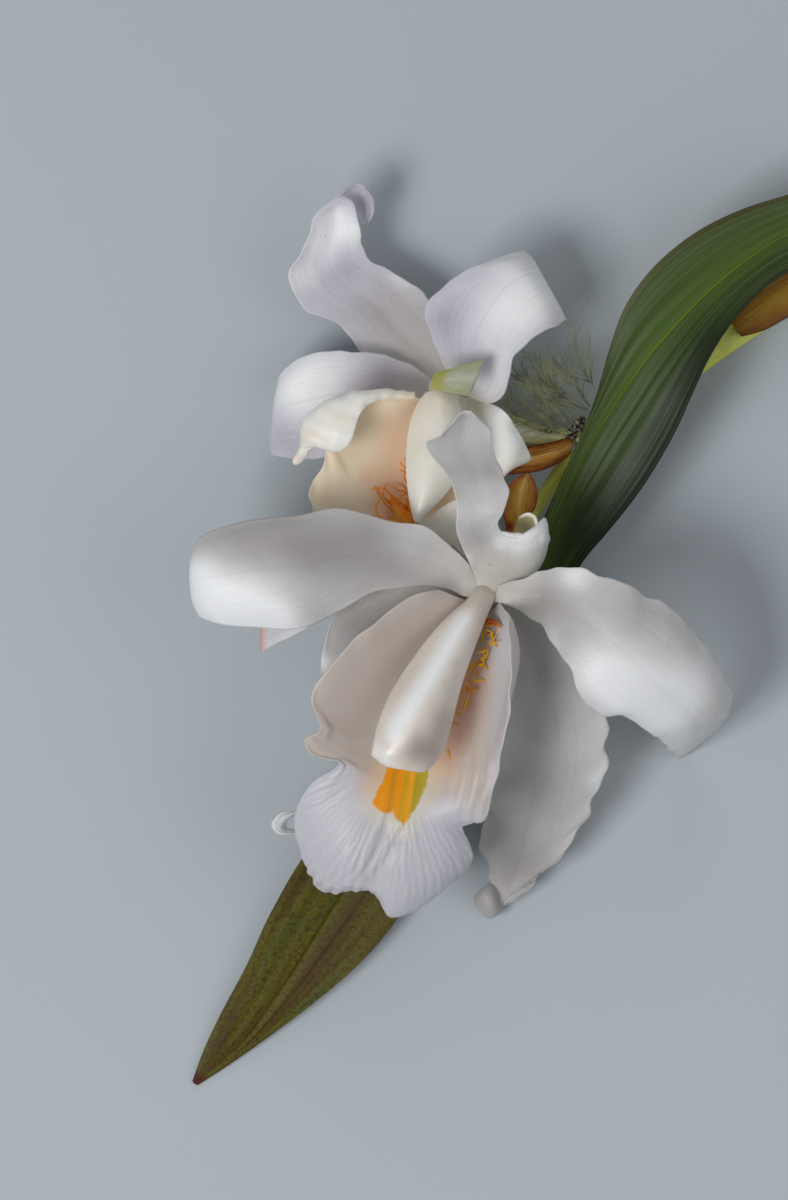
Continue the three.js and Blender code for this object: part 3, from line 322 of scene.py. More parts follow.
def ruffle(place, height, reach, period, phase):
    """A wavy margin on both sides of a blade."""
    left, right = margin_waves(place, reach, period, phase)
    return height * (left + right) * past_foot(place)


def scalloped(surface, height, reach, period, phase):
    """The surface with both its margins moved in and out in its own plane, by an uneven wave."""
    place = measure(surface)
    left, right = margin_waves(place, reach, period, phase)
    fade = past_foot(place) * np.clip(place.tip / 5, 0, 1)
    return surface + unit(np.gradient(surface, axis=1)) * (height * (right - left) * fade)[..., None]


def groove(place, depth, width):
    """A shallow groove down the middle of a blade."""
    middle = (place.left - place.right) / 2
    return -depth * falloff(middle, width) * np.clip(place.tip / 6, 0, 1)


def toned_by_painted_light(tree, place, cloud_scale, glow, white, shade, deep):
    """Tissue with cloudy patches, where it holds more or less air. It takes a painted highlight, whiter,
    where the blade's glow mark nears 1, and painted shade, in the deep colour, where the mark nears -1."""
    cloud = add_node(tree, "TexNoise", {"Vector": place, "Scale": cloud_scale, "Detail": 4.0})
    even = add_node(tree, "ValToRGB", {"Fac": cloud}, ramp=[(0.3, shade), (0.65, white)])
    painted_light_mark = add_node(tree, "Attribute", {}, attribute_name="glow").outputs["Fac"]
    # Painted highlight, where the glow mark is above nothing
    lit = add_node(tree, "Mix", {0: painted_light_mark, 6: even, 7: glow}, data_type="RGBA")
    # The share of painted shade, in the deep colour, where the glow mark falls below nothing
    clear = add_node(tree, "MapRange", {0: painted_light_mark, 2: -1.0})
    return add_node(tree, "Mix", {0: clear, 6: lit, 7: deep}, data_type="RGBA")


def petal_tissue(name, glow, white, shade, deep, root, grain, veins):
    """Fresh petal tissue. Clear satin cells over air give a soft white with lavender depth. It has a
    crystalline grain of cell tops, faint veins that run from root to tip, and a few dark specks of dust."""
    material, tree, shader = start_material(
        name, Roughness=0.42, IOR=1.42, Subsurface_Weight=0.3, Subsurface_Radius=(1.0, 0.9, 0.8),
        Subsurface_Scale=0.0012, Sheen_Weight=0.08, Sheen_Roughness=0.4
    )
    coordinates = add_node(tree, "TexCoord", {})
    place, flat = coordinates.outputs["Object"], coordinates.outputs["UV"]
    # The cloudy patches are about 12 mm across. The glow mark lays painted highlights and painted shade over
    # them
    body = toned_by_painted_light(tree, place, 80.0, glow, white, shade, deep)
    # Uneven veins about 0.8 mm apart, drawn out along the blade
    stretched = add_node(tree, "Mapping", {"Vector": flat, "Scale": (24.0, 1.3, 1.0)})
    vein = add_node(tree, "TexNoise", {"Vector": stretched, "Scale": 1.0, "Detail": 3.0})
    vein_tone = add_node(tree, "MapRange", {0: vein, 1: 0.5, 2: 0.8, 4: veins})
    veined = add_node(tree, "Mix", {0: vein_tone, 6: body, 7: shade}, data_type="RGBA", blend_type="MULTIPLY")
    # The blade's foot takes the ovary's greenish ivory
    along = add_node(tree, "SeparateXYZ", {"Vector": flat}).outputs["Y"]
    foot = add_node(tree, "MapRange", {0: along, 1: 0.02, 2: 0.28, 3: 0.8, 4: 0.0})
    tinted = add_node(tree, "Mix", {0: foot, 6: veined, 7: root}, data_type="RGBA")
    # Dust specks a third of a millimetre wide, in one of five cells of 4 mm
    dust = add_node(tree, "TexVoronoi", {"Vector": place, "Scale": 250.0})
    chance = add_node(tree, "SeparateColor", {"Color": dust.outputs["Color"]}).outputs["Red"]
    rare = add_node(tree, "Math", {0: chance, 1: 0.8}, operation="GREATER_THAN")
    near = add_node(tree, "MapRange", {0: dust, 1: 0.03, 2: 0.06, 3: 0.65, 4: 0.0})
    speck = add_node(tree, "Math", {0: rare, 1: near}, operation="MULTIPLY")
    specked = add_node(tree, "Mix", {0: speck, 6: tinted, 7: "#5D5048"}, data_type="RGBA")
    # Cell tops are a tenth of a millimetre wide, and are drawn 0.5 mm wide so that they show
    cells = add_node(tree, "TexVoronoi", {"Vector": place, "Scale": 2000.0})
    heights = add_node(tree, "Math", {0: cells, 1: grain}, operation="MULTIPLY")
    lifted = add_node(tree, "Math", {0: vein, 1: veins, 2: heights}, operation="MULTIPLY_ADD")
    bump = add_node(tree, "Bump", {"Height": lifted, "Strength": 0.6, "Distance": 0.0002})
    glint = add_node(tree, "MapRange", {0: cells, 2: 0.6, 3: 0.3, 4: 0.5})
    feed(tree, shader, {"Base Color": specked, "Normal": bump, "Roughness": glint})
    return material


TEPAL_WALL = (0.6, 0.22, 3.0)
front_tissue = petal_tissue(
    "front_petal_tissue", "#FFFFFF", "#D4D2D2", "#C2BFBC", "#918C8A", "#CCC7B9", grain=0.35, veins=0.2
)


def painted_light_and_stain_at(*spots):
    """Marks a blade's painted light by places: each a centre seen from above, a reach in millimetres and a
    weight, which is more than nothing for a painted highlight and less for painted shade. On a bract the same
    mark says where it is stained instead."""

    def glow(place):
        shares = [
            weight * np.exp(-((place.x - x) ** 2 + (place.y - y) ** 2) / reach**2)
            for x, y, reach, weight in spots
        ]
        return np.clip(sum(shares), -1, 1)

    return glow


def line_distance(place, line):
    """Each point's distance from a broken line, seen from above, in millimetres."""
    nearest = np.full(place.x.shape, 1e9)
    for (ax, ay), (bx, by) in zip(line, line[1:]):
        dx, dy = bx - ax, by - ay
        share = np.clip(((place.x - ax) * dx + (place.y - ay) * dy) / (dx * dx + dy * dy), 0, 1)
        nearest = np.minimum(nearest, np.hypot(place.x - ax - share * dx, place.y - ay - share * dy))
    return nearest


def spread_rows(net, row_steps, spans):
    """The smooth surface through rows of points, each cut into as many spans whatever its number of
    points."""
    return fill_in([fill_in(row, spans // (len(row) - 1)) for row in net], row_steps)


# The dorsal sepal stands up behind the column and leans over the back flower. Its foot is broad, and the
# right margin of the foot rolls forward into a short open scroll, so the last points of the lower rows follow
# the scroll's rim.
front_dorsal_net = [
    [[-22.6, 6, 26.5], [-22, 6, 26.8], [-21.2, 6, 26.9], [-20, 6, 26.8], [-18.8, 6.2, 26.3],
     [-17.6, 6.6, 25.7], [-16.6, 7.2, 25]],
    [[-22.9, 8.4, 26.9], [-22, 8.2, 27], [-20.6, 8, 27], [-18.6, 8, 26.9], [-16.4, 8.1, 26.6],
     [-14.4, 8.4, 26], [-13, 9, 25]],
    [[-23.9, 10.8, 27.6], [-22.3, 10.7, 27.3], [-20.2, 10.5, 27.5], [-17.6, 10.4, 28.2],
     [-14.8, 10.5, 28.6], [-12.6, 10.9, 27.8], [-11.3, 11.6, 26]],
    [[-24.8, 12.7, 28.6], [-22.8, 12.7, 28], [-20, 12.5, 28.2], [-17, 12.4, 29.4], [-14, 12.6, 30.2],
     [-11.9, 13.3, 29.4], [-10.7, 14.2, 27.2]],
    [[-25.6, 14.6, 29.6], [-23.2, 14.6, 28.8], [-20.2, 14.2, 29], [-17, 13.8, 30.6], [-14, 14.2, 31.6],
     [-11.9, 15.4, 30.6], [-10.9, 17.4, 28.6]],
    [[-26.1, 16, 30.4], [-23.8, 15.9, 29.6], [-20.6, 15.4, 29.8], [-17.8, 14.6, 31], [-15, 14.8, 32.2],
     [-12.8, 16, 31.8], [-11.5, 18.5, 29.6]],
    [[-26.2, 17, 31], [-24.2, 16.9, 30.2], [-21.4, 16.6, 30.2], [-19, 15.8, 31.2], [-16.6, 15.1, 32.4],
     [-14.3, 15.6, 32.6], [-12.7, 17.4, 31.4]],
    [[-26.2, 17.8, 31.6], [-24.4, 17.8, 30.8], [-22, 17.5, 30.7], [-20, 16.8, 31.3], [-18.2, 15.9, 32.2],
     [-16.4, 15.4, 32.8], [-14.8, 15.9, 32.8]],
    [[-26.1, 18.6, 32.4], [-24.4, 18.6, 31.5], [-22.6, 18.4, 31.3], [-21.2, 17.9, 31.6], [-20, 17.2, 32],
     [-18.7, 16.4, 32.5], [-17.4, 15.8, 32.6]],
    [[-26.1, 19.6, 33.2], [-24.3, 19.7, 32.2], [-22.8, 19.6, 32], [-21.6, 19.3, 32.2], [-20.6, 18.8, 32.5],
     [-19.8, 18, 32.9], [-19, 17.1, 33.2]],
    [[-26.2, 21.3, 34.8], [-24.2, 21.4, 33.3], [-22, 21.4, 33], [-19.7, 20.8, 33.6], [-18.2, 19.6, 34.6]],
    [[-26.8, 23.5, 37.1], [-24.6, 23.8, 35.4], [-22.1, 23.9, 35], [-19.4, 23.6, 36.2], [-17.3, 23.2, 38.1]],
    [[-27.6, 25.6, 39.5], [-25, 26, 37.6], [-22.4, 26.1, 36.8], [-20, 25.8, 38], [-18.3, 25.4, 40]],
    [[-31.2, 30.2, 44.4], [-27, 30.2, 42.6], [-23.6, 30.4, 41.8], [-21.4, 30, 42.4], [-19.9, 29.2, 44]],
    [[-29, 32.2, 48.6], [-27, 34, 48.4], [-24.4, 34.6, 47.6], [-22.6, 34.2, 48], [-20.8, 33.2, 49]],
    [[-26.4, 34.6, 52.4], [-25.8, 35.6, 52.2], [-24.8, 36.2, 52], [-23.9, 36, 52.1], [-23, 35.4, 52.3]],
]
SCROLL_RIM = [(-10.9, 16), (-11.2, 18), (-12.6, 17.3), (-14.8, 15.9), (-17.4, 15.8), (-19, 17.1)]


def front_dorsal_relief(place):
    """A velvety roll along the scroll's rim, and a wavy margin and a shallow groove on the blade above it."""
    above = soft_step(place.along, 0.66, 0.76)
    roll = 0.4 * falloff(line_distance(place, SCROLL_RIM) - 0.9, 0.8) * (1 - above)
    return roll + (ruffle(place, 0.3, 1.5, 9, 0.4) + groove(place, 0.25, 1.2)) * above


# Its glow mark paints highlights on the scroll's rim and along the blade's left edge, and painted shade on a
# few patches of the blade
grow_blade(
    "front_dorsal_sepal_blade", spread_rows(front_dorsal_net, 8, 48), TEPAL_WALL, front_tissue, "tepal_front",
    "front_dorsal_sepal", relief=front_dorsal_relief,
    glow=painted_light_and_stain_at(
        (-18.5, 14.6, 1.6, 0.6), (-15.6, 14.4, 1.9, 1), (-12.8, 15.4, 1.7, 1), (-11.6, 17.4, 1.2, 1),
        (-24.4, 11.6, 1.1, 0.7), (-20, 9.5, 3, -0.4), (-22.6, 15.6, 2.6, -0.45), (-20.6, 26.5, 2.6, -0.4),
        (-26, 20, 2, 0.4)
    )
)
# The margin ends in a smaller curl inside the scroll: cream, with painted shade in its hollow and a painted
# highlight along its rim
inner_curl_net = [
    [[-16.4, 15.6, 27.6], [-15.6, 15.2, 27.9], [-14.6, 15.2, 28.2], [-13.6, 15.6, 28.8], [-12.5, 16.4, 30.2]],
    [[-16.2, 16.8, 27], [-15.5, 16.7, 27.1], [-14.5, 16.8, 27.2], [-13.5, 17, 28], [-12.4, 17.3, 30.2]],
    [[-15.8, 18, 27.2], [-15.2, 18, 27.4], [-14.4, 18.1, 27.6], [-13.5, 18.2, 28.4], [-12.6, 18.2, 30.3]],
    [[-15.4, 18.8, 28], [-14.9, 19.1, 28.6], [-14.2, 19.3, 29.4], [-13.5, 19.2, 29.8], [-12.9, 18.8, 30.5]],
]
cream_curl_tissue = petal_tissue(
    "cream_curl_tissue", "#FBF9EC", "#DDD6B2", "#CCC39A", "#B0A578", "#B4A67C", grain=0.3, veins=0.1
)
grow_blade(
    "front_dorsal_sepal_curl", blade_surface(inner_curl_net, 8, 8), (0.4, 0.3, 0.8), cream_curl_tissue,
    "tepal_front", glow=lambda place: 1 - 1.8 * soft_step(np.minimum(place.right, place.tip), 0.3, 1.1)
)

front_petal_left_net = [
    [[-21.2, 9, 26.2], [-21.4, 8.2, 26.3], [-21.6, 7.2, 26.3], [-21.6, 6.2, 26.2], [-21.6, 5.2, 26]],
    [[-23.4, 10.3, 26.8], [-23.8, 9.1, 26.8], [-24.2, 7.7, 26.8], [-24.6, 6.4, 26.7], [-24.9, 5.3, 26.7]],
    [[-26.2, 12.9, 28.4], [-27, 11, 27.6], [-27.6, 9.4, 27.4], [-28, 7.9, 27.8], [-28.2, 6.7, 28.6]],
    [[-31.6, 17, 30], [-32.2, 14.2, 29.4], [-32.8, 11.6, 29.2], [-33.4, 9.2, 29.6], [-33.6, 7, 30.6]],
    [[-38.2, 18.2, 30.6], [-38.8, 15.4, 31.2], [-39.6, 12, 31.4], [-40.2, 8.6, 31.4], [-40.4, 5.8, 31]],
    [[-46, 20, 30.6], [-46.4, 16.4, 32.2], [-46.8, 11.6, 33], [-46.6, 6.4, 32.4], [-46.2, 2.5, 30.6]],
    [[-53.6, 18.9, 30.4], [-54, 15.4, 32.8], [-54, 10, 34], [-53.8, 4, 32.8], [-53.2, -0.2, 29.8]],
    [[-61.9, 17.9, 29.8], [-62, 14.2, 32.4], [-61.8, 9, 33.4], [-61.2, 3.6, 32.2], [-60.4, 0, 29.4]],
    [[-68, 16, 28.6], [-68.4, 12.6, 30.8], [-68.2, 8, 31.4], [-67.4, 3.8, 30.4], [-66.2, 0.6, 28.2]],
    [[-70.7, 13.6, 26.4], [-71, 10.6, 27.4], [-70.9, 7.2, 27.6], [-70.4, 4, 27], [-69.4, 1.7, 25.8]],
    [[-69.4, 12, 23.4], [-69.7, 10, 23.6], [-69.7, 7.4, 23.6], [-69.2, 4.8, 23.4], [-68.4, 3, 23.4]],
    [[-62, 10, 21.6], [-62, 8.6, 21.4], [-61.8, 7, 21.3], [-61.6, 5.4, 21.4], [-61.4, 4, 21.6]],
]
# Past its fold the petal turns under itself, and only its pinkish apex shows again below
front_petal_apex_net = [
    [[-59.2, 1, 24.6], [-59.25, -1.6, 24.6], [-59.3, -4.1, 24.7]],
    [[-58.2, 2.6, 25.2], [-58.4, -0.6, 25.3], [-58.5, -3.9, 25.4]],
    [[-56, 3.4, 26], [-56.2, 0.4, 26.3], [-56.4, -2.7, 26.6]],
    [[-53.6, 4, 26.8], [-54, 1, 27.2], [-54.2, -1.7, 27.5]],
    [[-50, 5, 27.6], [-50.4, 2.6, 28.2], [-50.6, 0.3, 28.6]],
    [[-46, 6.4, 28.6], [-46.3, 4.4, 29.2], [-46.6, 2.5, 29.6]],
]
front_petal_right_net = [
    [[-20.4, 6.6, 26.4], [-20.3, 6.2, 26.4], [-20.2, 5.6, 26.4], [-20.1, 5, 26.4], [-20, 4.4, 26.4]],
    [[-18.4, 7.2, 27.3], [-18.1, 6.5, 27.2], [-17.8, 5.7, 27.1], [-17.6, 4.8, 27], [-17.4, 3.6, 27]],
    [[-15.4, 8.3, 28.2], [-15, 7, 28], [-14.6, 5.4, 27.8], [-14.4, 3.6, 27.9], [-14.4, 2.2, 28.4]],
    [[-12.2, 9.1, 29.6], [-11.8, 7.3, 29.2], [-11.6, 5.2, 28.8], [-11.6, 2.8, 28.8], [-12, 0.4, 29.2]],
    [[-8.4, 10.3, 32], [-8.4, 7.4, 31], [-8.6, 3.8, 30.6], [-9.2, 0.4, 30.4], [-10.2, -2.2, 30.4]],
    [[-1.4, 8.7, 33.4], [-2.4, 5, 33.2], [-3.8, 0.6, 33], [-5.4, -3.8, 32.4], [-7, -7, 31.6]],
    [[5.4, 5.8, 32.6], [3.6, 1.8, 33.8], [1.2, -3.2, 34], [-2, -8, 33], [-4.9, -12, 31]],
    [[11.4, 2.2, 29.6], [9.4, -2.4, 31.8], [6, -7.6, 32.2], [2, -12, 31], [-2.6, -14.4, 28.4]],
    [[16.6, -4, 24.6], [14.4, -7.6, 27.4], [10.6, -11.8, 28], [6.6, -14.6, 27], [2.4, -15.2, 24.6]],
    [[20.3, -10.6, 18], [18.4, -12.8, 20.8], [14.8, -15.6, 21.6], [11, -17.4, 21], [7, -18, 19]],
    [[20.2, -15.2, 11], [18.4, -16.6, 12.4], [15.6, -18.6, 12.8], [12.6, -19.8, 12.4], [9.6, -20, 11.4]],
    [[14.4, -21.2, 0.9], [13.8, -21.7, 0.6], [13.2, -22.1, 0.5], [12.6, -22.3, 0.6], [12, -22.4, 0.9]],
]
front_lateral_left_net = [
    [[-21.6, 5.6, 23.6], [-21.3, 5.3, 23.3], [-21, 5.1, 23.1], [-20.7, 4.9, 23], [-20.3, 4.8, 23]],
    [[-24, 5.9, 22.9], [-23.6, 5.2, 22.5], [-23.1, 4.6, 22.2], [-22.5, 4.1, 22], [-21.8, 3.8, 22]],
    [[-32, 8, 25], [-30.8, 4.4, 23.2], [-29.6, 1.6, 22], [-28.2, -0.2, 21.2], [-26.4, -2, 20.6]],
    [[-40.2, 6.6, 25.8], [-38.6, 1.6, 23.6], [-36.6, -2.6, 21.6], [-34.4, -5.2, 20], [-31.6, -7.6, 18.6]],
    [[-46.8, 2.4, 24.8], [-44.4, -3, 22.6], [-41.6, -7.4, 20.4], [-38.6, -10, 18.6], [-35.4, -12.6, 17]],
    [[-49, -6.4, 22.4], [-47.4, -9.8, 20.4], [-44.6, -13, 18.4], [-41.8, -15.4, 16.8], [-38.6, -18, 15.4]],
    [[-48.4, -14.6, 19.4], [-47.4, -17, 17.8], [-45.6, -19.4, 16.4], [-43.6, -21.6, 15], [-41.4, -24, 13.6]],
    [[-46, -22.6, 16], [-45.8, -24, 15], [-45.4, -25.4, 14.2], [-44.8, -26.8, 13.2], [-44, -28.4, 12.4]],
    [[-50, -29, 13.6], [-49.9, -29.6, 13.1], [-49.7, -30.1, 12.5], [-49.4, -30.7, 12], [-49, -31.2, 11.5]],
    [[-53.9, -31.2, 12.9], [-53.9, -31.5, 12.9], [-53.8, -31.8, 12.7], [-53.8, -32.1, 12.4],
     [-53.7, -32.4, 12.1]],
    [[-56, -31.9, 12.8], [-55.8, -32.2, 12.9], [-55.5, -32.5, 12.8], [-55.2, -32.7, 12.4],
     [-54.9, -32.9, 11.8]],
    [[-57.3, -33.7, 12.4], [-56.9, -33.7, 12.7], [-56.4, -33.7, 12.6], [-55.9, -33.7, 12.1],
     [-55.3, -33.7, 11.2]],
    [[-56.1, -35.4, 12], [-55.9, -35.1, 12.3], [-55.6, -34.9, 12.2], [-55.3, -34.7, 11.7],
     [-55, -34.5, 10.9]],
    [[-53.3, -35.4, 11.8], [-53.4, -35.2, 12], [-53.4, -35, 11.9], [-53.5, -34.8, 11.5], [-53.5, -34.6, 11]],
]
front_lateral_right_net = [
    [[-20.8, 4.9, 23.2], [-20.4, 4.9, 23], [-20, 5, 22.9], [-19.6, 5.2, 23], [-19.3, 5.4, 23.2]],
    [[-20.6, 3.4, 22.1], [-19.8, 3.5, 21.9], [-19, 3.8, 21.8], [-18.3, 4.2, 21.9], [-17.7, 4.8, 22.1]],
    [[-19.4, -3, 22.2], [-17, -3, 21.4], [-14.6, -2.6, 21.2], [-12, -1.8, 21.6], [-9.6, -0.6, 22.6]],
    [[-19.6, -10, 20.6], [-16.4, -10.2, 19.8], [-12.8, -10, 19.6], [-8.6, -9, 20.2], [-4.4, -7.4, 21.4]],
    [[-20, -17.4, 18], [-16.4, -17.6, 17.2], [-12.2, -17.6, 17.2], [-6.6, -17.2, 18], [-0.6, -16.2, 19.4]],
    [[-20.4, -25, 14.4], [-16.8, -25.2, 14], [-12.4, -25.4, 14], [-6.6, -25.2, 14.8], [-0.9, -25, 15.6]],
    [[-21, -31, 11], [-17.6, -31.4, 10.8], [-13.4, -31.8, 10.6], [-8.4, -32.2, 11], [-3.6, -31.6, 12]],
    [[-21.9, -36, 8.2], [-18.6, -36.6, 8], [-14.6, -37.2, 7.8], [-10.6, -37.6, 8], [-6.6, -37.4, 8.8]],
    [[-20.8, -41.4, 5], [-18.4, -42, 4.8], [-15.8, -42.4, 4.8], [-13.6, -42.8, 5.2], [-11.8, -43, 5.8]],
    [[-19.8, -44, 4], [-18.5, -44.5, 3.8], [-17, -44.9, 3.8], [-15.2, -45, 4], [-13.6, -44.9, 4.4]],
    [[-19.4, -45.8, 3.6], [-18.6, -46.2, 3.3], [-17.8, -46.5, 3.2], [-16.9, -46.6, 3.3], [-15.9, -46.6, 3.6]],
    [[-19, -47.4, 3.2], [-18.6, -47.6, 3], [-18.2, -47.7, 3], [-17.8, -47.7, 3], [-17.3, -47.6, 3.2]],
]
# Its tip is bent back beside the blade's end, as a small round hollow lobe
front_lateral_tip_net = [
    [[-19.5, -44, 3.2], [-18.9, -45.6, 3], [-18.5, -47.2, 2.8], [-18.1, -48.5, 2.4]],
    [[-20.3, -44.2, 4.4], [-19.9, -45.9, 5], [-19.5, -47.8, 4.8], [-19.1, -49.4, 3]],
    [[-21.3, -44.7, 4.6], [-21, -46.1, 5.3], [-20.7, -48, 5], [-20.2, -49.9, 2.8]],
    [[-22.2, -45.4, 3.4], [-22, -46.4, 4], [-21.8, -47.8, 3.8], [-21.4, -49.3, 2.2]],
    [[-22.8, -46.4, 1.5], [-22.8, -46.8, 1.5], [-22.7, -47.4, 1.4], [-22.4, -48.2, 1.3]],
]
# The last entry of each blade is its glow mark: painted highlights where it turns towards the light, and
# painted shade where it turns away or lies in the shade of other parts
front_blades = {
    "front_petal_left": (
        front_petal_left_net, (0.2, 14), lambda place: ruffle(place, 0.25, 2, 17, 1.2),
        painted_light_and_stain_at(
            (-66, 4, 5.5, 1), (-60, 2.4, 5, 0.9), (-70, 9, 3, 0.8), (-56, 1, 3.5, 0.8), (-46, 12, 7, -0.6),
            (-54, 14, 6, -0.5), (-40, 15, 5, -0.35), (-37, 9, 4, -0.3), (-63, 15, 4, -0.3)
        )
    ),
    "front_petal_right": (
        front_petal_right_net, (0.35, 8),
        lambda place: ruffle(place, 0.35, 2, 11, 0.3) + groove(place, 0.2, 1.5),
        painted_light_and_stain_at(
            (-1, -8, 5, 0.9), (4, -11, 5.5, 1), (9.5, -14, 5.5, 0.9), (14, -9, 5, 0.6), (-6, 9, 2.4, 0.6),
            (-13, 4.6, 4, -0.65), (-8, 2, 4, -0.3), (5, 2, 4, -0.25)
        )
    ),
    "front_lateral_sepal_left": (
        front_lateral_left_net, (0.2, 9), lambda place: ruffle(place, 0.3, 1.5, 12, 2.0),
        painted_light_and_stain_at(
            (-48.6, -6, 1.8, 0.7), (-33, 3, 5, -0.3), (-41, 0, 6, -0.7), (-44, -12, 5, -0.5),
            (-56, -33.6, 2, 1)
        )
    ),
    "front_lateral_sepal_right": (
        front_lateral_right_net, (0.75, 9.5),
        lambda place: ruffle(place, 0.4, 1.6, 8, 0.9) + groove(place, 0.25, 1.4),
        painted_light_and_stain_at(
            (-1.5, -26, 1.8, 0.4), (-13, -6, 6, -0.15), (-11, -17, 6, -0.35), (-13, -29, 7, -0.7),
            (-15, -41, 6, -0.7)
        )
    ),
}
for node, (net, (scallop, period), relief, glow) in front_blades.items():
    surface = scalloped(blade_surface(net), scallop, 2.2, period, 0.6)
    grow_blade(
        node + "_blade", surface, TEPAL_WALL, front_tissue, "tepal_front", node, relief=relief, glow=glow
    )
apex_tissue = petal_tissue(
    "pinkish_apex_tissue", "#F8F8FB", "#DEDDE0", "#CECCD0", "#B5B0B2", "#D08F70", grain=0.35, veins=0.12
)
grow_blade(
    "front_petal_left_apex", blade_surface(front_petal_apex_net, 8, 8), (0.6, 0.22, 1.5), apex_tissue,
    "tepal_front"
)
# The bent-back tip lobe has a darker grey copy of the petal tissue, as painted shade
tip_painted_shade_tissue = petal_tissue(
    "sepal_tip_painted_shade_tissue", "#D0CDCD", "#BDB9B8", "#ABA6A5", "#8F8B8C", "#A9A2A0", grain=0.3, veins=0.1
)
grow_blade(
    "front_lateral_sepal_right_tip", blade_surface(front_lateral_tip_net, 8, 8), (0.6, 0.35, 1.0), tip_painted_shade_tissue,
    "tepal_front"
)

# The five blades grow out of a shallow fleshy cup, which the column's foot stands in
front_cup_net = [
    [[-24.6, 9.2, 25], [-22.6, 9.7, 25.3], [-20.6, 9.9, 25.5], [-18.6, 9.7, 25.4], [-16.6, 9.2, 25]],
    [[-25, 7.9, 25.2], [-22.9, 8.1, 25.7], [-20.6, 8.2, 25.9], [-18.3, 8.1, 25.7], [-16.2, 7.9, 25.2]],
    [[-25, 6.5, 25.2], [-22.9, 6.5, 25.8], [-20.6, 6.5, 26], [-18.4, 6.5, 25.8], [-16.4, 6.5, 25.2]],
    [[-24.4, 5.2, 25.2], [-22.6, 4.9, 25.6], [-20.6, 4.7, 25.8], [-18.8, 4.9, 25.6], [-17.2, 5.2, 25.2]],
    [[-23, 4.3, 24.8], [-21.9, 3.8, 24.9], [-20.7, 3.6, 25], [-19.6, 3.8, 24.9], [-18.6, 4.2, 24.8]],
]
cup_tissue = petal_tissue(
    "front_cup_tissue", "#F2EFE6", "#D3CFC2", "#CCC7B9", "#B5B0A2", "#CCC7B9", grain=0.3, veins=0.05
)
grow_blade("front_flower_cup", blade_surface(front_cup_net, 6, 6), (0.6, 0.3, 1.0), cup_tissue, "tepal_front")

# ------------------------ front flower: ovary and pedicel
# The ovary is a fleshy ribbed stalk behind the flower, waxy green below and ivory where the petals join it.
# It narrows to the pedicel, which runs back to the flower stem's last node.


def stem_rings(path, radii, steps, sides, ribs=0, rib_height=0.0):
    """Rings of points round a smooth path, with a radius at each of its points and shallow ribs along it."""
    centres = fill_in(path, steps)
    tangents = unit(np.gradient(centres, axis=0))
    turn = np.linspace(0, 2 * np.pi, sides, endpoint=False)
    side = np.cross(tangents[0], [0.3, 0.5, 0.8])
    rings = []
    for centre, size, tangent in zip(centres, fill_in(radii, steps), tangents):
        side = side - tangent * (side @ tangent)
        side /= np.linalg.norm(side)
        reach = size * (1 + rib_height * np.cos(ribs * turn))
        up = np.cross(tangent, side)
        rings.append(centre + np.outer(np.cos(turn) * reach, side) + np.outer(np.sin(turn) * reach, up))
    return np.array(rings)


def roll_tube(name, rings, skin, slot, *nodes):
    """A sheet rolled up until its margins meet, with its two ends filled in, fixed on in its skin."""
    tube = lay_sheet(name, np.concatenate([rings, rings[:, :1]], axis=1))
    select_only(tube)
    bpy.ops.object.mode_set(mode="EDIT")
    bpy.ops.mesh.select_all(action="SELECT")
    bpy.ops.mesh.remove_doubles(threshold=0.001 * MM)
    bpy.ops.mesh.fill_holes(sides=0)
    bpy.ops.mesh.select_all(action="SELECT")
    bpy.ops.mesh.normals_make_consistent(inside=False)
    bpy.ops.object.mode_set(mode="OBJECT")
    bpy.ops.object.shade_smooth()
    fix_on(tube, skin, slot, *nodes)
    return tube


def fleshy_stem(name, tone_ramp, vertical_top):
    """Waxy green stem skin, smooth and a little glossy, with fine streaks along it. Its colour changes with
    height, up to vertical_top in millimetres."""
    material, tree, shader = start_material(
        name, Roughness=0.38, IOR=1.42, Subsurface_Weight=0.2, Subsurface_Scale=0.001,
        Subsurface_Radius=(0.8, 1.0, 0.4)
    )
    place = add_node(tree, "TexCoord", {}).outputs["Object"]
    height = add_node(tree, "SeparateXYZ", {"Vector": place}).outputs["Z"]
    level = add_node(tree, "MapRange", {0: height, 2: vertical_top * MM})
    tone = add_node(tree, "ValToRGB", {"Fac": level}, ramp=tone_ramp)
    streak = add_node(tree, "TexNoise", {"Vector": place, "Scale": 450.0, "Detail": 4.0})
    depth = add_node(tree, "MapRange", {0: streak, 1: 0.45, 2: 0.8, 4: 0.2})
    mottled = add_node(tree, "Mix", {0: depth, 6: tone, 7: "#8A9150"}, data_type="RGBA")
    bump = add_node(tree, "Bump", {"Height": streak, "Strength": 0.2, "Distance": 0.0002})
    feed(tree, shader, {"Base Color": mottled, "Normal": bump})
    return material


front_stalk_skin = fleshy_stem(
    "front_pedicel_skin", [(0.0, "#C2C44A"), (0.45, "#CACB66"), (0.85, "#E4DFC6")], vertical_top=26
)
front_ovary_path = [
    [-20.9, 6.5, 26], [-20.85, 6.4, 25.6], [-20.8, 6.3, 24.2], [-20.1, 7.4, 20.5], [-17.8, 11.2, 14],
    [-15, 16, 8.4], [-10.9, 22.6, 5.6], [-6.2, 29.6, 5]
]
front_ovary_radii = [0.6, 1.9, 2.6, 2.4, 1.9, 1.4, 1.25, 1.25]
roll_tube(
    "front_ovary_stalk",
    stem_rings(front_ovary_path, front_ovary_radii, steps=8, sides=30, ribs=6, rib_height=0.04),
    front_stalk_skin, "ovary", "front_ovary"
)

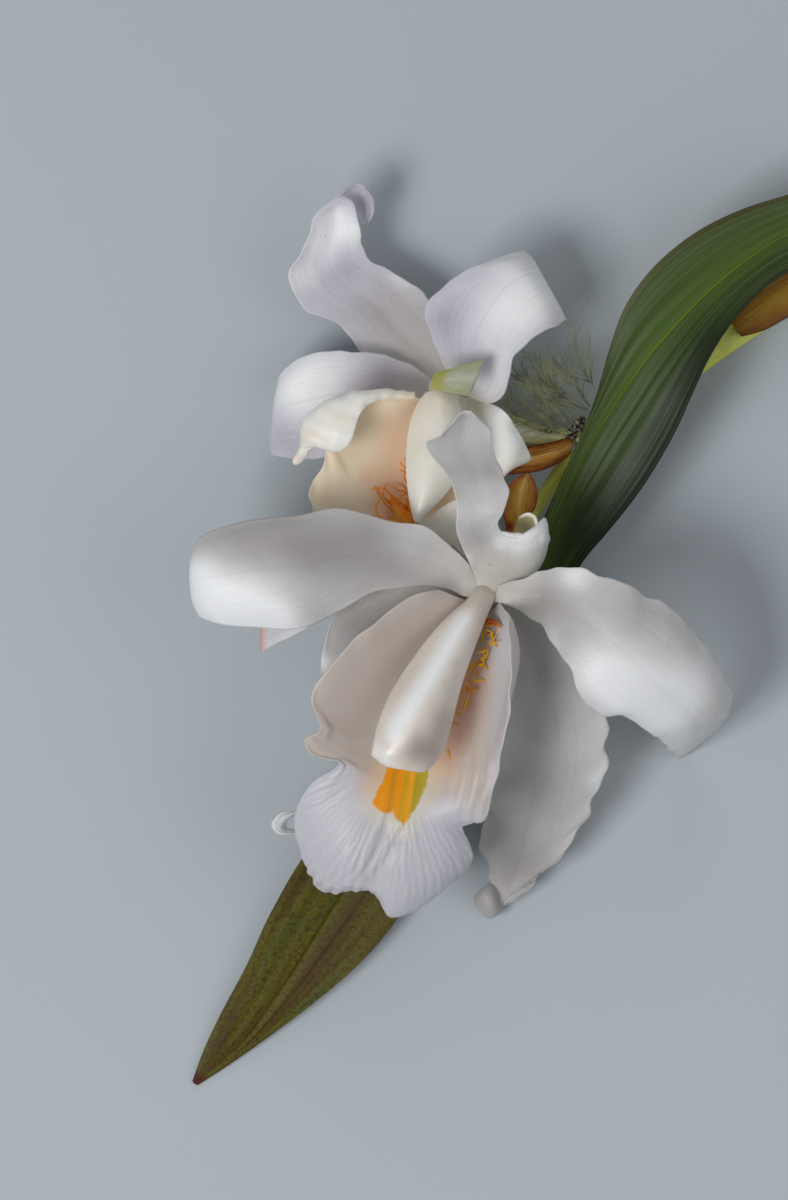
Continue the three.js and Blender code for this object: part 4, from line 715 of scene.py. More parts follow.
# ------------------------ front flower: lip
# The lip is one thick fleshy petal. It is a channel under the column, with a lobe on each side, and spreads
# into a crimped fan with three creases. Its face is pinkish beige, with painted shade, on its lobes and
# channel, and has an orange patch of sticky tissue with olive stripes. Its back is plain white.


def outline_distance(place, outline):
    """The distance from a closed outline, seen from above, in millimetres: less than zero inside it."""
    inside = np.zeros(place.x.shape, bool)
    closed = outline + outline[:1]
    for (ax, ay), (bx, by) in zip(closed, closed[1:]):
        if ay != by:
            edge = (bx - ax) * (place.y - ay) / (by - ay) + ax
            inside ^= ((ay > place.y) != (by > place.y)) & (place.x < edge)
    return np.where(inside, -1, 1) * line_distance(place, closed)


def lip_face(name, white, tint_and_painted_shade, blush, patch_ramp):
    """The lip's face: thick satin tissue. The marks on its mesh say where it has its inner tint with painted
    shade, where it is blushed and where it is patched."""
    material, tree, shader = start_material(
        name, Roughness=0.4, IOR=1.42, Subsurface_Weight=0.3, Subsurface_Radius=(1.0, 0.75, 0.6),
        Subsurface_Scale=0.0015, Sheen_Weight=0.06
    )
    place = add_node(tree, "TexCoord", {}).outputs["Object"]
    marks = {}
    for key in ("tint_and_painted_shade", "blush", "patch", "stripe", "fan", "fanned"):
        marks[key] = add_node(tree, "Attribute", {}, attribute_name=key).outputs["Fac"]
    cloud = add_node(tree, "TexNoise", {"Vector": place, "Scale": 150.0, "Detail": 5.0})
    # The inner tint, which on the front lip also carries painted shade
    tone = add_node(tree, "Mix", {0: marks["tint_and_painted_shade"], 6: white, 7: tint_and_painted_shade}, data_type="RGBA")
    dim = add_node(tree, "MapRange", {0: cloud, 1: 0.35, 2: 0.75, 4: 0.12})
    cloudy = add_node(tree, "Mix", {0: dim, 6: tone, 7: "#BFB4AE"}, data_type="RGBA")
    warm = add_node(tree, "Mix", {0: marks["blush"], 6: cloudy, 7: blush}, data_type="RGBA")
    # Cream round the patch, fading over 3.5 mm
    ring = add_node(tree, "MapRange", {0: marks["patch"], 2: 3.5, 3: 0.45, 4: 0.0})
    cream = add_node(tree, "Mix", {0: ring, 6: warm, 7: "#F1E3B4"}, data_type="RGBA")
    # The patch's edge is broken by cells 0.8 mm wide, and its ramp runs from 5 mm left of its middle to 5 mm
    # right
    ragged = add_node(tree, "TexNoise", {"Vector": place, "Scale": 1200.0})
    edge = add_node(tree, "Math", {0: ragged, 1: 0.9, 2: marks["patch"]}, operation="MULTIPLY_ADD")
    cover = add_node(tree, "MapRange", {0: edge, 1: 0.35, 2: 0.75, 3: 1.0, 4: 0.0})
    span = add_node(tree, "MapRange", {0: marks["stripe"], 1: -5.0, 2: 5.0})
    paint = add_node(tree, "ValToRGB", {"Fac": span}, ramp=patch_ramp)
    patched = add_node(tree, "Mix", {0: cover, 6: cream, 7: paint}, data_type="RGBA")
    # Cell tops a tenth of a millimetre wide, drawn 0.5 mm wide so that they show, on wrinkles that fan out
    # from the throat about a millimetre apart. The fan mark holds each point's direction from the throat.
    swirl = add_node(tree, "TexNoise", {"Vector": place, "Scale": 260.0})
    drift = add_node(tree, "Math", {0: swirl, 1: 9.0}, operation="MULTIPLY")
    turn = add_node(tree, "Math", {0: marks["fan"], 1: 96.0, 2: drift}, operation="MULTIPLY_ADD")
    wrinkle = add_node(tree, "Math", {0: turn}, operation="SINE")
    fanned = add_node(tree, "Math", {0: wrinkle, 1: marks["fanned"]}, operation="MULTIPLY")
    cells = add_node(tree, "TexVoronoi", {"Vector": place, "Scale": 2000.0})
    height = add_node(tree, "Math", {0: cells, 1: 0.25, 2: fanned}, operation="MULTIPLY_ADD")
    bump = add_node(tree, "Bump", {"Height": height, "Strength": 0.32, "Distance": 0.0001})
    feed(tree, shader, {"Base Color": patched, "Normal": bump})
    return material


LIP_WALL = (0.75, 0.25, 2.5)
FRONT_PATCH = [
    (-36.6, -20), (-31, -21), (-30.9, -24.1), (-31.1, -26.4), (-32.4, -29.4), (-33.9, -31.9), (-35.1, -33.4),
    (-36.2, -32.4), (-36.8, -31.1), (-37.9, -31.5), (-39.2, -31.1), (-40.3, -29.8), (-39.6, -27.9),
    (-38.7, -26.4), (-38.1, -24.6), (-37.6, -22.6)
]
FRONT_CREASES = [
    [(-37.6, -27), (-38.8, -32), (-40.6, -36.5), (-42.2, -40.5)],
    [(-36.4, -32.6), (-38, -36), (-40, -40), (-40.6, -42)],
    [(-34, -27), (-35.6, -33.2), (-37.6, -36.6), (-39.2, -40)],
]
FRONT_VALLEY = [(-37.4, -35.5), (-39.4, -39.5), (-40.2, -43)]
front_lip_net = [
    [[-24, 4.4, 25.4], [-23.4, 3.6, 24.6], [-22.6, 3.1, 24.2], [-21.6, 2.8, 24], [-20.6, 2.9, 24.1],
     [-19.6, 3.5, 24.8], [-18.8, 4.2, 26]],
    [[-31, 6.2, 33.5], [-28.6, 3.2, 28.6], [-25.6, 0.4, 24.6], [-23.2, -1.6, 23.4], [-20.6, -1, 24.8],
     [-17.2, 0.6, 29.6], [-17.3, 1.2, 34.4]],
    [[-38.6, 1.8, 35.5], [-35, -1.6, 29.6], [-30.6, -4, 25.2], [-26.6, -6.6, 23.8], [-22.6, -6.6, 25.4],
     [-16, -4.8, 31], [-17.2, -4, 37.4]],
    [[-45.6, -4.4, 35.5], [-40.8, -8, 30.2], [-35, -10.6, 25.8], [-29.6, -12.6, 24.2], [-24.2, -13, 25.6],
     [-17.6, -11.6, 31], [-17, -10.6, 38]],
    [[-50.6, -11.6, 34], [-45.2, -14.6, 29.6], [-38.6, -17, 25.8], [-32.4, -18.8, 24.6],
     [-26.2, -19.2, 26.2], [-19.8, -18.6, 30.8], [-18, -18.4, 36]],
    [[-49.1, -17, 32], [-46, -17.9, 29.1], [-39.7, -19.8, 25.9], [-33.6, -21.6, 25], [-27.6, -22.4, 26.7],
     [-21.5, -22.5, 30.3], [-19, -22.8, 34.2]],
    [[-51.8, -19.2, 31.4], [-46.6, -20, 28.8], [-40.4, -21.6, 26], [-34.4, -23.4, 25.4],
     [-28.6, -24.4, 27], [-22.6, -25, 30], [-19.6, -25.6, 33]],
    [[-50.2, -21.8, 29.8], [-45.8, -21.9, 28.2], [-40.3, -23.9, 26.3], [-34.9, -25.5, 25.7],
     [-29.4, -26.7, 27.1], [-23.8, -27.5, 29.4], [-20.3, -28.8, 31]],
    [[-46, -23.2, 28.6], [-43.8, -24.2, 27.6], [-40.2, -26.6, 26.6], [-35.6, -28, 26.2],
     [-30.4, -29.4, 27.2], [-25.2, -30.4, 28.6], [-21.4, -32.8, 28]],
    [[-50.8, -26.6, 26.4], [-46.8, -28.4, 26.4], [-41.6, -31, 26.6], [-37, -32.6, 26.6],
     [-32.4, -33.4, 26.8], [-28.6, -33.6, 26.6], [-25, -33.6, 25]],
    [[-53.5, -31.8, 23], [-48.8, -33.4, 25], [-43.2, -35.4, 26.2], [-38.6, -36.8, 26.2],
     [-33.6, -37.4, 26.4], [-28.4, -37.4, 25.4], [-23.8, -37, 22.6]],
    [[-53, -37, 20], [-49, -38.6, 23], [-44.2, -40, 25], [-39.8, -41, 25], [-34.6, -41.8, 25],
     [-29, -41.8, 23.4], [-23.5, -40, 19.6]],
    [[-50.8, -42.6, 17.6], [-48.2, -43.2, 20.4], [-44.4, -43.4, 22.6], [-40, -44.4, 22.4],
     [-35.4, -46.4, 21.8], [-30.8, -45.6, 20], [-26.8, -43.4, 17.6]],
    [[-49.6, -44.6, 16.4], [-46.8, -45.3, 18.2], [-43.4, -44.8, 20.4], [-40, -45.6, 20],
     [-37.4, -49.2, 18], [-34, -48.7, 17], [-30, -46, 16.4]],
]


def fan_place(place):
    """Each point's direction and distance from the point in the throat that the wrinkles fan out from."""
    x, y = place.x + 35.5, place.y + 22
    return np.arctan2(y, x), np.hypot(x, y)


def front_lip_relief(place):
    """Uneven wrinkles about a millimetre apart fan out over the end lobe, between three raised creases, to a
    crimped margin. The right lobe's lower half is pleated along the channel, and the left lobe's margin is
    puckered at its corner."""
    fan = soft_step(place.along, 0.6, 0.73)
    angle, reach = fan_place(place)
    drift = 2.6 * np.sin(reach / 2.6 + 9 * angle)
    ridges = 0.13 * np.sin(104 * angle + drift) + 0.11 * np.sin(63 * angle - 0.8 * drift + reach / 2)
    ridges += 0.04 * np.sin(reach * 4.6 + 12 * angle)
    ridges *= soft_step(reach, 8, 12) * (0.6 + 0.4 * np.sin(5 * angle + reach / 4))
    creases = sum(falloff(line_distance(place, line), 0.42) for line in FRONT_CREASES)
    crimp = 0.11 * waves(angle, 0.21, 1.3) * np.exp(-place.margin / 1.8)
    lobes = 0.3 * waves(place.root, 10, 0.6) * np.exp(-place.side / 2.2) * (1 - fan)
    pleated = np.exp(-(((place.x + 22) / 3.4) ** 2) - ((place.y + 26) / 6.5) ** 2)
    pleats = 0.42 * np.sin(2 * np.pi * (place.x - 0.1 * place.y + 0.5 * np.sin(place.y / 3)) / 2.1)
    puckered = np.exp(-(((place.x + 49.5) / 3) ** 2) - ((place.y + 18.6) / 2.6) ** 2)
    puckers = 0.1 * np.sin(2 * np.pi * (place.x * 0.5 + place.y * 0.87) / 1.7)
    in_valley = falloff(line_distance(place, FRONT_VALLEY), 2.2)
    folds = ridges * (1 - 0.8 * in_valley) + 0.5 * creases - 0.75 * in_valley + crimp
    return fan * folds + lobes + pleated * pleats + puckered * puckers


front_lip_surface = blade_surface(front_lip_net, 9, 15)
place = measure(front_lip_surface)
front_blush = falloff(line_distance(place, [(-24, -10), (-26.4, -18), (-28.6, -23)]), 3.2)
front_blush += 0.8 * falloff(line_distance(place, [(-38.8, -24.5), (-40.5, -27)]), 2.4)
# The lobes and channel take the inner tint with painted shade: less of it on the right lobe, where light
# falls, and a little more in the end lobe's valley
front_light = 1 - 0.75 * falloff(place.x + 18, 2.6)
front_tint_and_painted_shade = (1 - soft_step(place.along, 0.54, 0.66)) * front_light
front_tint_and_painted_shade += 0.2 * falloff(line_distance(place, FRONT_VALLEY), 2.2)
fan_angle, fan_reach = fan_place(place)
front_lip_marks = {
    "tint_and_painted_shade": np.clip(front_tint_and_painted_shade, 0, 1),
    "blush": np.clip(front_blush, 0, 1) * 0.6,
    "fan": fan_angle,
    "fanned": soft_step(place.along, 0.6, 0.72) * soft_step(fan_reach, 8, 18),
    "patch": np.clip(outline_distance(place, FRONT_PATCH), -5, 20) + 30 * (place.along < 0.4),
    "stripe": place.x + 35.7 - 0.16 * (place.y + 24),
}
front_lip_face = lip_face(
    "front_lip_face", "#CCCBD2", "#CBC1B8", "#E2AC8C",
    [
        (0.0, "#F49400"), (0.28, "#FFA204"), (0.36, "#FC9C02"), (0.42, "#CE9A0E"), (0.5, "#FC9C04"),
        (0.57, "#FA9E04"), (0.63, "#D2A410"), (0.69, "#EEA60A"), (0.74, "#FFB020"), (0.82, "#B8A01C"),
        (1.0, "#C0AE30")
    ]
)
grow_blade(
    "front_lip_blade", front_lip_surface, LIP_WALL, front_lip_face, "lip_front", "front_lip",
    relief=front_lip_relief, marks=front_lip_marks
)

# ------------------------ front flower: column
# The column is the flower's solid core, a waxy ivory club with a rounded back. Its sides widen into a thin
# hood, whose end hangs down as a toothed apron over the pale anther cap.


def column_rings(net, hollow_from):
    """Rings round the column: over its back, then under it. Past hollow_from the underside follows the back,
    as in a hood with a thin wall."""
    back = smooth_net(net, 8, 6)
    rows, columns = back.shape[:2]
    eased = back.copy()
    for _ in range(60):
        eased[1:-1] = 0.25 * eased[:-2] + 0.5 * eased[1:-1] + 0.25 * eased[2:]
    end = soft_step(np.linspace(0, 1, rows), 0.72, 0.92)[:, None, None]
    back = eased * (1 - end) + back * end
    share = np.linspace(0, 1, columns)
    rings = []
    for k, row in enumerate(back):
        hollow = 0.15 + 0.6 * soft_step(k / (rows - 1), hollow_from, 1)
        chord = row[0] + (row[-1] - row[0]) * share[:, None]
        under = row.copy()
        bulge = (row[:, 2] - chord[:, 2]) * hollow
        under[:, 2] = chord[:, 2] + bulge - 0.8 + 0.45 * soft_step(k / (rows - 1), 0.85, 1)
        rings.append(np.concatenate([row, under[::-1]]))
    return np.array(rings)


def waxy_column(name, glow, ivory, shade, deep, root):
    """Column tissue is solid and waxy, so it shines more than a petal does. It is ivory, greenish at its
    foot, and takes a painted highlight or painted shade from the glow mark, as petal tissue does."""
    material, tree, shader = start_material(
        name, Roughness=0.32, IOR=1.5, Subsurface_Weight=0.3, Subsurface_Radius=(1.0, 0.8, 0.6),
        Subsurface_Scale=0.002, Coat_Weight=0.3, Coat_Roughness=0.35
    )
    coordinates = add_node(tree, "TexCoord", {})
    place = coordinates.outputs["Object"]
    along = add_node(tree, "SeparateXYZ", {"Vector": coordinates.outputs["UV"]}).outputs["Y"]
    body = toned_by_painted_light(tree, place, 220.0, glow, ivory, shade, deep)
    foot = add_node(tree, "MapRange", {0: along, 1: 0.04, 2: 0.3, 3: 0.8, 4: 0.0})
    tinted = add_node(tree, "Mix", {0: foot, 6: body, 7: root}, data_type="RGBA")
    cells = add_node(tree, "TexVoronoi", {"Vector": place, "Scale": 2000.0})
    bump = add_node(tree, "Bump", {"Height": cells, "Strength": 0.08, "Distance": 0.0002})
    feed(tree, shader, {"Base Color": tinted, "Normal": bump})
    return material


front_column_net = [
    [[-23.4, 5.8, 26.6], [-22.8, 6.8, 26.8], [-21.6, 7.2, 26.9], [-20.4, 6.8, 26.8], [-19.4, 5.6, 26.6]],
    [[-23.7, 5.4, 27.2], [-22.9, 6.1, 28.4], [-21.7, 6.2, 28.9], [-20.6, 5.6, 28.4], [-19.8, 4.5, 27.2]],
    [[-25.6, 3.6, 28.6], [-24.6, 3.8, 30.4], [-23.2, 3.4, 31.4], [-21.7, 2.8, 30.6], [-20.9, 2, 28.8]],
    [[-29.7, 0.3, 30.2], [-28, -0.3, 33], [-26, -1.2, 34.4], [-24, -1.9, 33.2], [-22.6, -2.4, 30.4]],
    [[-34.4, -6.4, 32.2], [-32, -6.9, 35.8], [-29.6, -7.4, 37.2], [-27, -7.9, 35.8], [-24.9, -8.3, 32.2]],
    [[-37.7, -11.2, 33.8], [-35.2, -11.6, 37.8], [-32, -12, 39.2], [-28.8, -12.4, 37.6],
     [-26.1, -12.7, 33.6]],
    [[-39.6, -16, 35.2], [-37, -16.4, 39.2], [-33.4, -16.8, 40.4], [-29.8, -17, 38.8], [-26.9, -16.6, 34.8]],
    [[-40.3, -20.2, 37], [-38, -20.8, 39.2], [-34.8, -21.6, 39.4], [-31, -21.4, 38.4], [-28.1, -20.4, 35.6]],
    [[-40.5, -21.2, 37.4], [-38.2, -22.8, 38.2], [-34.8, -23.9, 38.4], [-31.8, -24.3, 37.8],
     [-29.8, -23, 36]],
]
column_wax = waxy_column("waxy_column", "#FFFFFF", "#EEE6DC", "#E4D9CC", "#9A8E84", "#CDC3AE")
front_rings = column_rings(front_column_net, hollow_from=0.55)
# The apron's teeth, about 1.4 mm apart, on the last millimetre: strong at its left corner, faint at its right
ring_share = np.linspace(0, 2, front_rings.shape[1])
ring_share = np.minimum(ring_share, 2 - ring_share)
teeth = (0.65 - 0.5 * soft_step(ring_share, 0.3, 0.5)) * np.abs(np.sin(8.5 * np.pi * ring_share + 0.4))
for k, weight in zip((-1, -2, -3, -4), (1, 0.7, 0.4, 0.15)):
    front_rings[k] += (teeth * weight)[:, None] * np.array([-0.1, -0.85, -0.4])
front_column = roll_tube("front_column_body", front_rings, column_wax, "column", "front_column")
# The glow mark paints a highlight along the column's ridge and on two teeth, and painted shade on the end of
# its hood and beside its foot
COLUMN_HIGHLIGHT_LINE = [(-25, 1.4), (-28.4, -4.4), (-32.4, -11), (-35.6, -16), (-36.6, -18)]
column_highlights_and_shade = painted_light_and_stain_at(
    (-32, -20.6, 3.4, -0.85), (-28.2, -16, 2.8, -0.45), (-39.4, -20.4, 0.8, 0.6), (-38, -22.2, 0.7, 0.6),
    (-23, 3, 3, -0.25)
)
spots = np.empty(len(front_column.data.vertices) * 3)
front_column.data.vertices.foreach_get("co", spots)
x, y, _ = spots.reshape(-1, 3).T / MM
place = SimpleNamespace(x=x, y=y)
ridge = falloff(line_distance(place, COLUMN_HIGHLIGHT_LINE), 1.7)
mark(front_column, "glow", np.clip(ridge + column_highlights_and_shade(place), -1, 1))

# ------------------------ front flower: keels
# Low fleshy keels run down the lip's floor under the column. Their crests are cut into fine curled threads,
# ochre in this older flower, which show as a fringe beside the column.


def on_surface(surface, x, y):
    """The point of a surface nearest to a place seen from above."""
    gap = np.hypot(surface[..., 0] - x, surface[..., 1] - y)
    return surface[np.unravel_index(gap.argmin(), gap.shape)]


def curled_thread(dice, root, lean, length, curl, count=6):
    """Points of a thread that leaves its root along lean and curls at random, in millimetres."""
    heading = np.array(lean, float)
    point = np.array(root, float)
    points = [point]
    bend = np.array([dice.uniform(-1, 1), dice.uniform(-1, 1), dice.uniform(-0.5, 0.5)]) * curl
    for _ in range(count - 1):
        jitter = np.array([dice.uniform(-1, 1) for _ in range(3)])
        heading = heading / np.linalg.norm(heading) + bend + jitter * curl * 0.6
        point = point + heading / np.linalg.norm(heading) * length / (count - 1)
        points.append(point)
    return points


def spin_threads(name, threads, thickness, tip_share):
    """Thin round threads as one mesh. Each is a list of points, and narrows to tip_share of its thickness."""
    bpy.ops.object.select_all(action="DESELECT")
    bpy.ops.curve.primitive_nurbs_path_add()
    bundle = bpy.context.object
    bundle.name = bundle.data.name = name
    bundle.data.splines.clear()
    bundle.data.bevel_depth = thickness / 2 * MM
    bundle.data.bevel_resolution = 1
    bundle.data.use_fill_caps = True
    for points in threads:
        spline = bundle.data.splines.new("POLY")
        spline.points.add(len(points) - 1)
        for k, point in enumerate(points):
            spline.points[k].co = (*(np.array(point) * MM), 1)
            spline.points[k].radius = 1 - (1 - tip_share) * k / (len(points) - 1)
    bpy.ops.object.convert(target="MESH")
    bundle = bpy.context.object
    bpy.ops.object.transform_apply(location=True, rotation=True, scale=True)
    bpy.ops.object.shade_smooth()
    return bundle


def keel_flesh(name, bright, deep):
    """Fleshy keel threads, wet-looking and strongly coloured all through."""
    material, tree, shader = start_material(
        name, Roughness=0.35, IOR=1.42, Subsurface_Weight=0.25, Subsurface_Radius=(1.0, 0.5, 0.1),
        Subsurface_Scale=0.0005
    )
    place = add_node(tree, "TexCoord", {}).outputs["Object"]
    cloud = add_node(tree, "TexNoise", {"Vector": place, "Scale": 500.0})
    tone = add_node(tree, "ValToRGB", {"Fac": cloud}, ramp=[(0.35, deep), (0.65, bright)])
    feed(tree, shader, {"Base Color": tone})
    return material


dice = random.Random(11)
front_fringe = []
front_keel_line = [(-20.6, 0.2), (-21.4, -3), (-22.8, -6.4), (-24.2, -9.8), (-25.6, -13.2)]
for x, y in fill_in(front_keel_line, 11):
    spot = (x + dice.uniform(-0.8, 1.1), y + dice.uniform(-0.4, 0.4))
    root = on_surface(front_lip_surface, *spot) + [0, 0, 1.6]
    lean = (dice.uniform(-0.3, 0.9), dice.uniform(-0.9, 0.9), dice.uniform(0.2, 0.7))
    front_fringe.append(curled_thread(dice, root, lean, dice.uniform(1.4, 2.8), curl=0.55, count=8))
for x, y, lean, length in (
    (-26.6, -15.8, (1, -0.6, 0.4), 1.5), (-27.8, -21.0, (0.5, -0.9, 0.3), 2.6),
    (-26.2, -14.6, (0.9, -0.2, 0.5), 1.2)
):
    root = on_surface(front_lip_surface, x, y) + [0, 0, 0.6]
    front_fringe.append(curled_thread(dice, root, lean, length, curl=0.12))
front_fringe_piece = spin_threads("front_keel_fringe", front_fringe, thickness=0.36, tip_share=0.5)
fix_on(front_fringe_piece, keel_flesh("ochre_keel_flesh", "#FFC228", "#E29E0C"), "lip_front")
# The keels start in one short burnt orange bar under the column
keel_bar_path = [[-22, 0, 26.9], [-21.2, 0.8, 27.5], [-20.2, 1, 28], [-19.2, 0.5, 28.5], [-18.6, -0.1, 28.9]]
roll_tube(
    "front_keel_bar",
    stem_rings(keel_bar_path, [0.2, 0.38, 0.42, 0.3, 0.1], steps=5, sides=14, ribs=4, rib_height=0.2),
    keel_flesh("burnt_keel_flesh", "#D0760C", "#9A4608"), "lip_front"
)

# ------------------------ back flower: sepals and petals
# The second flower of the same stem, turned to the left and younger. Its tissue is the same, with more
# lavender in its depth and clearer veins.
back_tissue = petal_tissue(
    "back_petal_tissue", "#FFFFFF", "#DDDCE4", "#C9C6D1", "#958F98", "#D2CABB", grain=0.35, veins=0.35
)
back_dorsal_net = [
    [[-29.4, 41.6, 14.6], [-28.6, 41.6, 14.2], [-27.8, 41.4, 14], [-26.8, 41.2, 14], [-25.8, 41, 14.2]],
    [[-31.6, 42.4, 12.2], [-30.6, 42.8, 11.6], [-29.4, 43, 11.3], [-27.6, 43, 11.4], [-25.8, 43, 11.8]],
    [[-37.4, 43.2, 9.8], [-35.4, 45, 9.2], [-33, 46.8, 9.2], [-30.2, 48.4, 9.8], [-27, 49.2, 10.6]],
    [[-42.4, 47, 8], [-40.2, 49.2, 7.6], [-37.6, 51.7, 7.6], [-34.4, 54.4, 8], [-31, 56.4, 8.8]],
    [[-46.2, 51.8, 8.2], [-43.8, 53.6, 7.4], [-41.2, 55.8, 7.2], [-38.6, 58.4, 7.6], [-36.6, 60.5, 8.4]],
    [[-51.6, 54, 9.6], [-49, 56.4, 8.2], [-45.8, 58.8, 7.8], [-42.8, 61, 8.2], [-40.4, 62.4, 9]],
    [[-54.6, 59.4, 11], [-51.6, 61, 9.4], [-48, 62.6, 9], [-44.8, 64, 9.6], [-42.2, 65.2, 10.4]],
    [[-52.6, 64, 11.8], [-50.6, 65, 10.8], [-47.6, 66.2, 10.6], [-44.8, 67, 11.2], [-42.4, 67.2, 11.8]],
    [[-50.9, 67.4, 12.6], [-49.4, 67.8, 11.6], [-47.2, 68.6, 11.4], [-44.8, 69, 11.8], [-42.5, 69, 12.4]],
    [[-50.5, 70, 13], [-48.9, 70.4, 12.4], [-47, 71, 12.2], [-45, 71.3, 12.4], [-43.3, 71.2, 12.8]],
    [[-47.4, 72.4, 13.8], [-46.4, 72.8, 13.6], [-45.5, 73, 13.4], [-44.6, 73, 13.2], [-43.9, 72.8, 13]],
    [[-45.2, 74.4, 13.8], [-44.9, 74.2, 13.2], [-44.6, 73.9, 12.6], [-44.3, 73.5, 12.2], [-44.1, 73, 12]],
    [[-43.3, 75.6, 12.8], [-43.5, 75, 12.2], [-43.6, 74.2, 11.6], [-43.7, 73.3, 11.2], [-43.8, 72.4, 11]],
    [[-41.5, 74.9, 11.8], [-42, 74.4, 11.3], [-42.5, 73.6, 10.8], [-43, 72.7, 10.4], [-43.5, 71.8, 10.2]],
    [[-40.3, 73.2, 11], [-41, 72.8, 10.5], [-41.7, 72.3, 10.1], [-42.4, 71.7, 9.8], [-43.1, 71, 9.6]],
    [[-40.1, 71.4, 10.2], [-40.8, 71.3, 9.8], [-41.5, 71, 9.5], [-42.1, 70.6, 9.2], [-42.7, 70.1, 9]],
    [[-40.7, 69.8, 9.6], [-41.1, 69.8, 9.3], [-41.5, 69.7, 9.1], [-41.9, 69.5, 8.9], [-42.3, 69.3, 8.8]],
    [[-41.3, 68.9, 9.2], [-41.5, 68.9, 9.1], [-41.7, 68.8, 9], [-41.8, 68.8, 8.9], [-42, 68.8, 8.8]],
]
back_petal_right_net = [
    [[-28.4, 42, 16.4], [-28.1, 41.9, 16.2], [-27.8, 41.7, 16.1], [-27.5, 41.4, 16.2], [-27.3, 41.1, 16.4]],
    [[-27.6, 43.2, 14.8], [-26.4, 42.4, 14.4], [-25, 41.2, 14.3], [-23.4, 39.8, 14.6], [-21.6, 38.4, 15.2]],
    [[-28.8, 45.8, 15.6], [-26.4, 44.4, 14.8], [-23.6, 42.6, 14.6], [-20.8, 40.4, 15], [-18.4, 38.8, 15.8]],
    [[-30.2, 49.4, 16.8], [-26.6, 48, 15.8], [-23, 46, 15.4], [-19.6, 43.8, 15.8], [-17.2, 42.4, 16.8]],
    [[-31.5, 53.4, 17.6], [-27.2, 52, 17], [-22.8, 50, 16.8], [-18.9, 47.8, 17], [-16, 46.3, 17.6]],
    [[-29.8, 56.6, 18], [-25.4, 55.8, 17.8], [-20.8, 54, 17.8], [-16.6, 51.6, 17.8], [-12.9, 49.2, 18]],
    [[-25.2, 60.2, 18], [-21.8, 59.4, 18.4], [-18, 57.8, 18.4], [-14, 54.8, 18], [-9.8, 51, 17]],
    [[-19.4, 62.8, 16.8], [-17, 62, 17.4], [-14.4, 60, 17.2], [-11.6, 56.8, 16.4], [-8.2, 51.7, 14.6]],
    [[-14.7, 64.1, 13.6], [-13.4, 62.9, 13.6], [-11.8, 60.2, 13.2], [-9.7, 56.5, 12.2], [-7.5, 52.6, 11]],
    [[-15.2, 62.6, 10], [-14, 61, 9.8], [-12.6, 58.6, 9.4], [-11, 55.8, 8.8], [-9.4, 53.2, 8.2]],
    [[-17.8, 59, 7.2], [-17.2, 58.4, 7], [-16.6, 57.8, 6.9], [-16, 57.2, 6.8], [-15.4, 56.6, 6.8]],
]
back_petal_left_net = [
    [[-29.6, 40.8, 15.2], [-29.6, 40.4, 15], [-29.6, 40, 14.9], [-29.5, 39.6, 15], [-29.4, 39.2, 15.2]],
    [[-31, 42.8, 12.4], [-31.2, 41.4, 12.2], [-31.3, 40, 12.2], [-31.2, 39.1, 12.5], [-31, 38.5, 13.2]],
    [[-35.2, 45.4, 11.6], [-35.5, 42.6, 11.4], [-35.8, 39.6, 11.6], [-35.6, 36.8, 12], [-35.2, 34.6, 12.2]],
    [[-40.2, 46.8, 11.4], [-40.8, 43.2, 12], [-41, 39.8, 11.4], [-40.8, 35.8, 11], [-40.2, 32.4, 11]],
    [[-45.4, 47, 12], [-46, 43.8, 11.6], [-46.2, 39.6, 11], [-46, 34.6, 10.4], [-45.2, 30.2, 9.8]],
    [[-50, 46.9, 11.4], [-51, 43.4, 11.4], [-51.4, 38.6, 10.6], [-51.2, 33.2, 9.6], [-50.4, 28.6, 8.6]],
    [[-54.2, 45, 9.8], [-55, 41.8, 10], [-55.4, 37.4, 9.2], [-55.6, 32.4, 8], [-55.2, 28.9, 6.8]],
    [[-56.6, 41.8, 6.6], [-57, 38.4, 6.8], [-57.4, 34.8, 6.2], [-57.8, 31.8, 5.2], [-57.6, 29.7, 4.2]],
    [[-55.8, 39.4, 3], [-56.2, 37, 2.8], [-56.4, 34.6, 2.4], [-56.4, 32.6, 2], [-56, 31, 1.6]],
    [[-53.4, 36.6, 0.7], [-53.3, 36.2, 0.6], [-53.2, 35.8, 0.5], [-53.1, 35.4, 0.5], [-53, 35, 0.5]],
]
back_lateral_left_net = [
    [[-29.4, 39, 12.6], [-29.1, 38.7, 12.4], [-28.8, 38.5, 12.3], [-28.5, 38.3, 12.3], [-28.2, 38.2, 12.4]],
    [[-30.1, 38.5, 10.6], [-29.8, 38, 10.3], [-29.3, 37.6, 10.2], [-28.7, 37.3, 10.2], [-28.1, 37.1, 10.4]],
    [[-36.6, 32.4, 9.4], [-35.2, 31.2, 9], [-33.6, 30.2, 8.8], [-31.8, 29.4, 9], [-30, 28.8, 9.4]],
    [[-41.4, 26.6, 8], [-39.4, 25, 7.6], [-37, 23.6, 7.4], [-34.4, 22.6, 7.6], [-31.8, 22, 8]],
    [[-44.4, 20.4, 6.6], [-42, 18.8, 6.2], [-39.4, 17.4, 6], [-36.6, 16.4, 6.2], [-33.8, 15.8, 6.6]],
    [[-46, 14, 5.4], [-43.8, 12.6, 5], [-41.4, 11.4, 4.8], [-38.8, 10.6, 5], [-36.4, 10.2, 5.4]],
    [[-46, 8, 4.2], [-44.8, 7, 4], [-43.2, 6.2, 3.8], [-41.4, 5.8, 4], [-39.8, 5.8, 4.2]],
    [[-45.2, 3.6, 3.4], [-44.9, 3.3, 3.3], [-44.5, 3.1, 3.2], [-44.1, 3, 3.3], [-43.7, 3, 3.4]],
]
